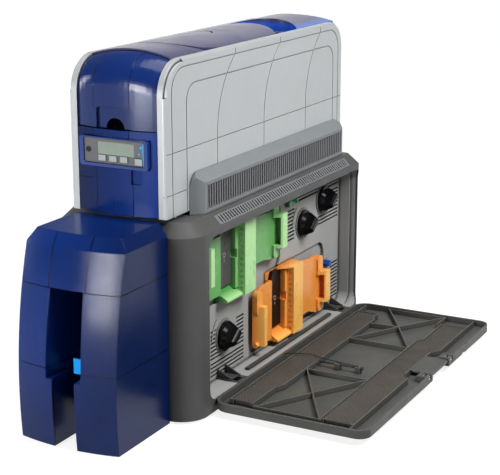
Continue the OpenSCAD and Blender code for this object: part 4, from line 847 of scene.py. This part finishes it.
class CARDPRINTER_OT_display(bpy.types.Operator):
    """Finish the control panel"""

    bl_idname = "cardprinter.display"
    bl_label = "Control panel"

    def execute(self, context):
        s = context.scene.printer_engine
        edging = clear_blue("frame_blue", shade(s.blue, 0.6), shade(s.blue, 0.3), 0.0)
        bezel = moulded("bezel_grey", (0.132, 0.136, 0.144), 0.3, 0.00004, edge=0.0003)
        screen = material("screen_green", s.screen, 0.15, coat=0.3)
        paint(screen, mottled(screen, s.screen, 0.06, SCREEN_CLOUDS))
        keys = moulded("key_grey", s.key, 0.4, 0.00003, edge=0.0003)
        round_key = moulded("key_black", (0.02, 0.021, 0.023), 0.3, 0.00003, edge=0.0003)
        dress(edging, "display_frame")
        dress(bezel, "display_bezel")
        dress(screen, "lcd_screen")
        dress(glossy("lamp_cyan", (0.03, 0.42, 0.85), 0.12), "status_lamps")
        dress(keys, "soft_key_1", "soft_key_2", "soft_key_3", "menu_key")
        dress(round_key, "round_key")
        return {"FINISHED"}


# The hopper's joints: their width, the heights of the two level ones, the places across of the
# two upright ones, and the heights between which each kind runs. The places across are in
# millimetres and the rest is in metres.
SEAM_WIDTH = 0.0014
LEVEL_SEAMS, LEVEL_SPAN = (0.22645, 0.11545), (0.0, 0.3)
UPRIGHT_SEAMS, UPRIGHT_SPAN = (-30, 30), (0.227, 0.2992)

# The hopper has painted shade: it is darker towards the floor, from DARK_HEIGHT down, in metres,
# and towards its right side over DARK_ACROSS, in millimetres.
DARK_HEIGHT = 0.16
DARK_ACROSS = (90, -40)


class CARDPRINTER_OT_hopper(bpy.types.Operator):
    """Finish the card hopper"""

    bl_idname = "cardprinter.hopper"
    bl_label = "Card hopper"

    def execute(self, context):
        s = context.scene.printer_engine
        light, deep, dark = (shade(s.blue, factor) for factor in (0.8, 0.4, 0.3))
        ends = [at(x, 0, 0).x for x in DARK_ACROSS]
        # Painted shade: darker towards the floor and towards the right side.
        fades = [("Z", 0.0, DARK_HEIGHT, dark), ("X", *ends, dark)]
        seams = [("X", at(x, 0, 0).x, SEAM_WIDTH, *UPRIGHT_SPAN) for x in UPRIGHT_SEAMS]
        seams += [("Z", z, SEAM_WIDTH, *LEVEL_SPAN) for z in LEVEL_SEAMS]
        blue = clear_blue("hopper_blue", light, deep, s.clear, 0.19, 1.26, fades, seams)
        dress(blue, "hopper_cover")
        dress(moulded("chute_black", (0.008, 0.008, 0.01), 0.4), "hopper_chute")
        dress(glossy("lifter_cyan", (0.02, 0.32, 0.85), 0.18), "card_lifter")
        return {"FINISHED"}


# ---------- stage ----------

# Half the floor's side, in metres. The floor's glow changes with the distance from the middle, and
# the backdrop that gloss sees fades upward. Each is a ramp's two ends and its values there.
FLOOR_REACH = 60.0
FLOOR_GLOW = (0.5, 3.5, 0.82, 0.96)
LOW_SKY = (0.03, 0.12, 1.0, 0.0)

# Each lamp's place, the point that it faces, and its width and height, in metres.
LAMPS = {
    "left": ((-1.86, -0.86, 0.66), (-0.12, -0.2, 0.45), (0.22, 0.85)),
    "back": ((-1.2, 2.6, 1.15), (-0.1, 0.1, 0.5), (1.6, 0.9)),
    "key": ((1.4, -0.05, 1.85), (0.0, 0.0, 0.3), (0.9, 0.9)),
    "front": ((-0.5, -2.3, 0.57), (-0.12, -0.3, 0.45), (0.54, 0.86)),
    "top": ((0.0, 0.05, 2.0), (0.0, 0.05, 0.3), (0.9, 1.4)),
}

# The camera's place in millimetres, how far it is turned to the left and tilted down, its
# sensor's width in millimetres and the distances between which it sees.
CAMERA_PLACE = (1052.73, -1598.73, 784.38)
CAMERA_TURN, CAMERA_TILT = math.radians(27.75), math.radians(15.13)
SENSOR_WIDTH = 36.0
CLIP_START, CLIP_END = 0.05, 150.0


def seen(owner):
    """1 for rays from the camera, and 1 for rays off gloss and through glass."""
    path = node(owner, "LightPath")
    gloss, glass = path.outputs["Is Glossy Ray"], path.outputs["Is Transmission Ray"]
    return path.outputs["Is Camera Ray"], maths(owner, "MAXIMUM", gloss, glass)


def lay_floor(colour):
    """A wide floor that looks white to the camera and in gloss, and takes the shadow."""
    mat = bpy.data.materials.new("floor_white")
    mat.use_nodes = True
    mat.node_tree.nodes.clear()
    away = node(mat, "VectorMath", operation="LENGTH")
    join(mat, node(mat, "TexCoord").outputs["Object"], away.inputs[0])
    level = ramp(mat, away.outputs["Value"], *FLOOR_GLOW)
    glow = node(mat, "Emission", Color=WHITE)
    share = maths(mat, "MULTIPLY", maths(mat, "MAXIMUM", *seen(mat)), level)
    join(mat, share, glow.inputs["Strength"])
    both = node(mat, "AddShader")
    join(mat, node(mat, "BsdfDiffuse", Color=colour).outputs[0], both.inputs[0])
    join(mat, glow.outputs[0], both.inputs[1])
    join(mat, both.outputs[0], node(mat, "OutputMaterial").inputs["Surface"])

    bm = bmesh.new()
    bmesh.ops.create_grid(bm, x_segments=8, y_segments=8, size=FLOOR_REACH)
    mesh = bpy.data.meshes.new("floor")
    bm.to_mesh(mesh)
    bm.free()
    mesh.materials.append(mat)
    floor = bpy.data.objects.new("floor", mesh)
    bpy.context.scene.collection.objects.link(floor)


def light_world(ambient):
    """An even light that looks white to the camera, and in gloss low over the floor."""
    world = bpy.data.worlds.new("studio")
    world.use_nodes = True
    split = node(world, "SeparateXYZ")
    join(world, node(world, "TexCoord").outputs["Generated"], split.inputs["Vector"])
    low_sky = ramp(world, split.outputs["Z"], *LOW_SKY)
    camera_ray, shine = seen(world)
    white = maths(world, "MAXIMUM", camera_ray, maths(world, "MULTIPLY", shine, low_sky))
    back = world.node_tree.nodes["Background"]
    back.inputs["Color"].default_value = WHITE
    join(world, maths(world, "MAXIMUM", white, ambient), back.inputs["Strength"])
    bpy.context.scene.world = world


def hang_lamp(name, place, aim, size, power):
    """A soft rectangular lamp that faces a point."""
    data = bpy.data.lights.new(name, "AREA")
    data.shape = "RECTANGLE"
    data.size, data.size_y = size
    data.energy = power
    made = bpy.data.objects.new(name, data)
    made.location = place
    made.rotation_euler = (Vector(aim) - Vector(place)).to_track_quat("-Z", "Y").to_euler()
    bpy.context.scene.collection.objects.link(made)


def set_camera(lens):
    """A camera that looks down on the machine from its front and right."""
    data = bpy.data.cameras.new("camera")
    data.lens = lens
    data.sensor_width = SENSOR_WIDTH
    data.clip_start, data.clip_end = CLIP_START, CLIP_END
    camera = bpy.data.objects.new("camera", data)
    camera.location = at(*CAMERA_PLACE)
    level = Vector((-math.sin(CAMERA_TURN), math.cos(CAMERA_TURN), 0.0)) * math.cos(CAMERA_TILT)
    ahead = level - Vector((0.0, 0.0, math.sin(CAMERA_TILT)))
    camera.rotation_euler = ahead.to_track_quat("-Z", "Y").to_euler()
    bpy.context.scene.collection.objects.link(camera)
    bpy.context.scene.camera = camera


class CARDPRINTER_OT_stage(bpy.types.Operator):
    """Set the floor, the light and the camera"""

    bl_idname = "cardprinter.stage"
    bl_label = "Stage"

    def execute(self, context):
        s = context.scene.printer_stage
        lay_floor(s.floor)
        light_world(s.ambient)
        for name, (place, aim, size) in LAMPS.items():
            hang_lamp(f"{name}_lamp", place, aim, size, getattr(s, name))
        set_camera(s.lens)
        context.scene.view_settings.view_transform = "Standard"
        return {"FINISHED"}


# ---------- add-on ----------

OPERATORS = (
    CARDPRINTER_OT_stage,
    CARDPRINTER_OT_housing,
    CARDPRINTER_OT_bay,
    CARDPRINTER_OT_cartridges,
    CARDPRINTER_OT_door,
    CARDPRINTER_OT_engine,
    CARDPRINTER_OT_covers,
    CARDPRINTER_OT_display,
    CARDPRINTER_OT_hopper,
)
SETTINGS = {
    "printer_housing": HousingSettings,
    "printer_bay": BaySettings,
    "printer_door": DoorSettings,
    "printer_engine": EngineSettings,
    "printer_stage": StageSettings,
}


class CARDPRINTER_PT_panel(bpy.types.Panel):
    """Lists the settings and the operators"""

    bl_idname = "CARDPRINTER_PT_panel"
    bl_label = "Card Printer"
    bl_space_type = "VIEW_3D"
    bl_region_type = "UI"
    bl_category = "Card Printer"

    def draw(self, context):
        for name, group in SETTINGS.items():
            box = self.layout.box()
            box.label(text=name.split("_")[1].title())
            for key in group.__annotations__:
                box.prop(getattr(context.scene, name), key)
        for operator in OPERATORS:
            self.layout.operator(operator.bl_idname)


def register():
    """Adds the settings, the operators and the panel."""
    for name, group in SETTINGS.items():
        bpy.utils.register_class(group)
        setattr(bpy.types.Scene, name, PointerProperty(type=group))
    for kind in (*OPERATORS, CARDPRINTER_PT_panel):
        bpy.utils.register_class(kind)


def unregister():
    """Takes them away again, last one first."""
    for kind in (CARDPRINTER_PT_panel, *reversed(OPERATORS)):
        bpy.utils.unregister_class(kind)
    for name, group in reversed(SETTINGS.items()):
        delattr(bpy.types.Scene, name)
        bpy.utils.unregister_class(group)


def main():
    """Builds everything in order."""
    register()
    for operator in OPERATORS:
        group, name = operator.bl_idname.split(".")
        getattr(getattr(bpy.ops, group), name)()


if __name__ == "__main__":
    main()
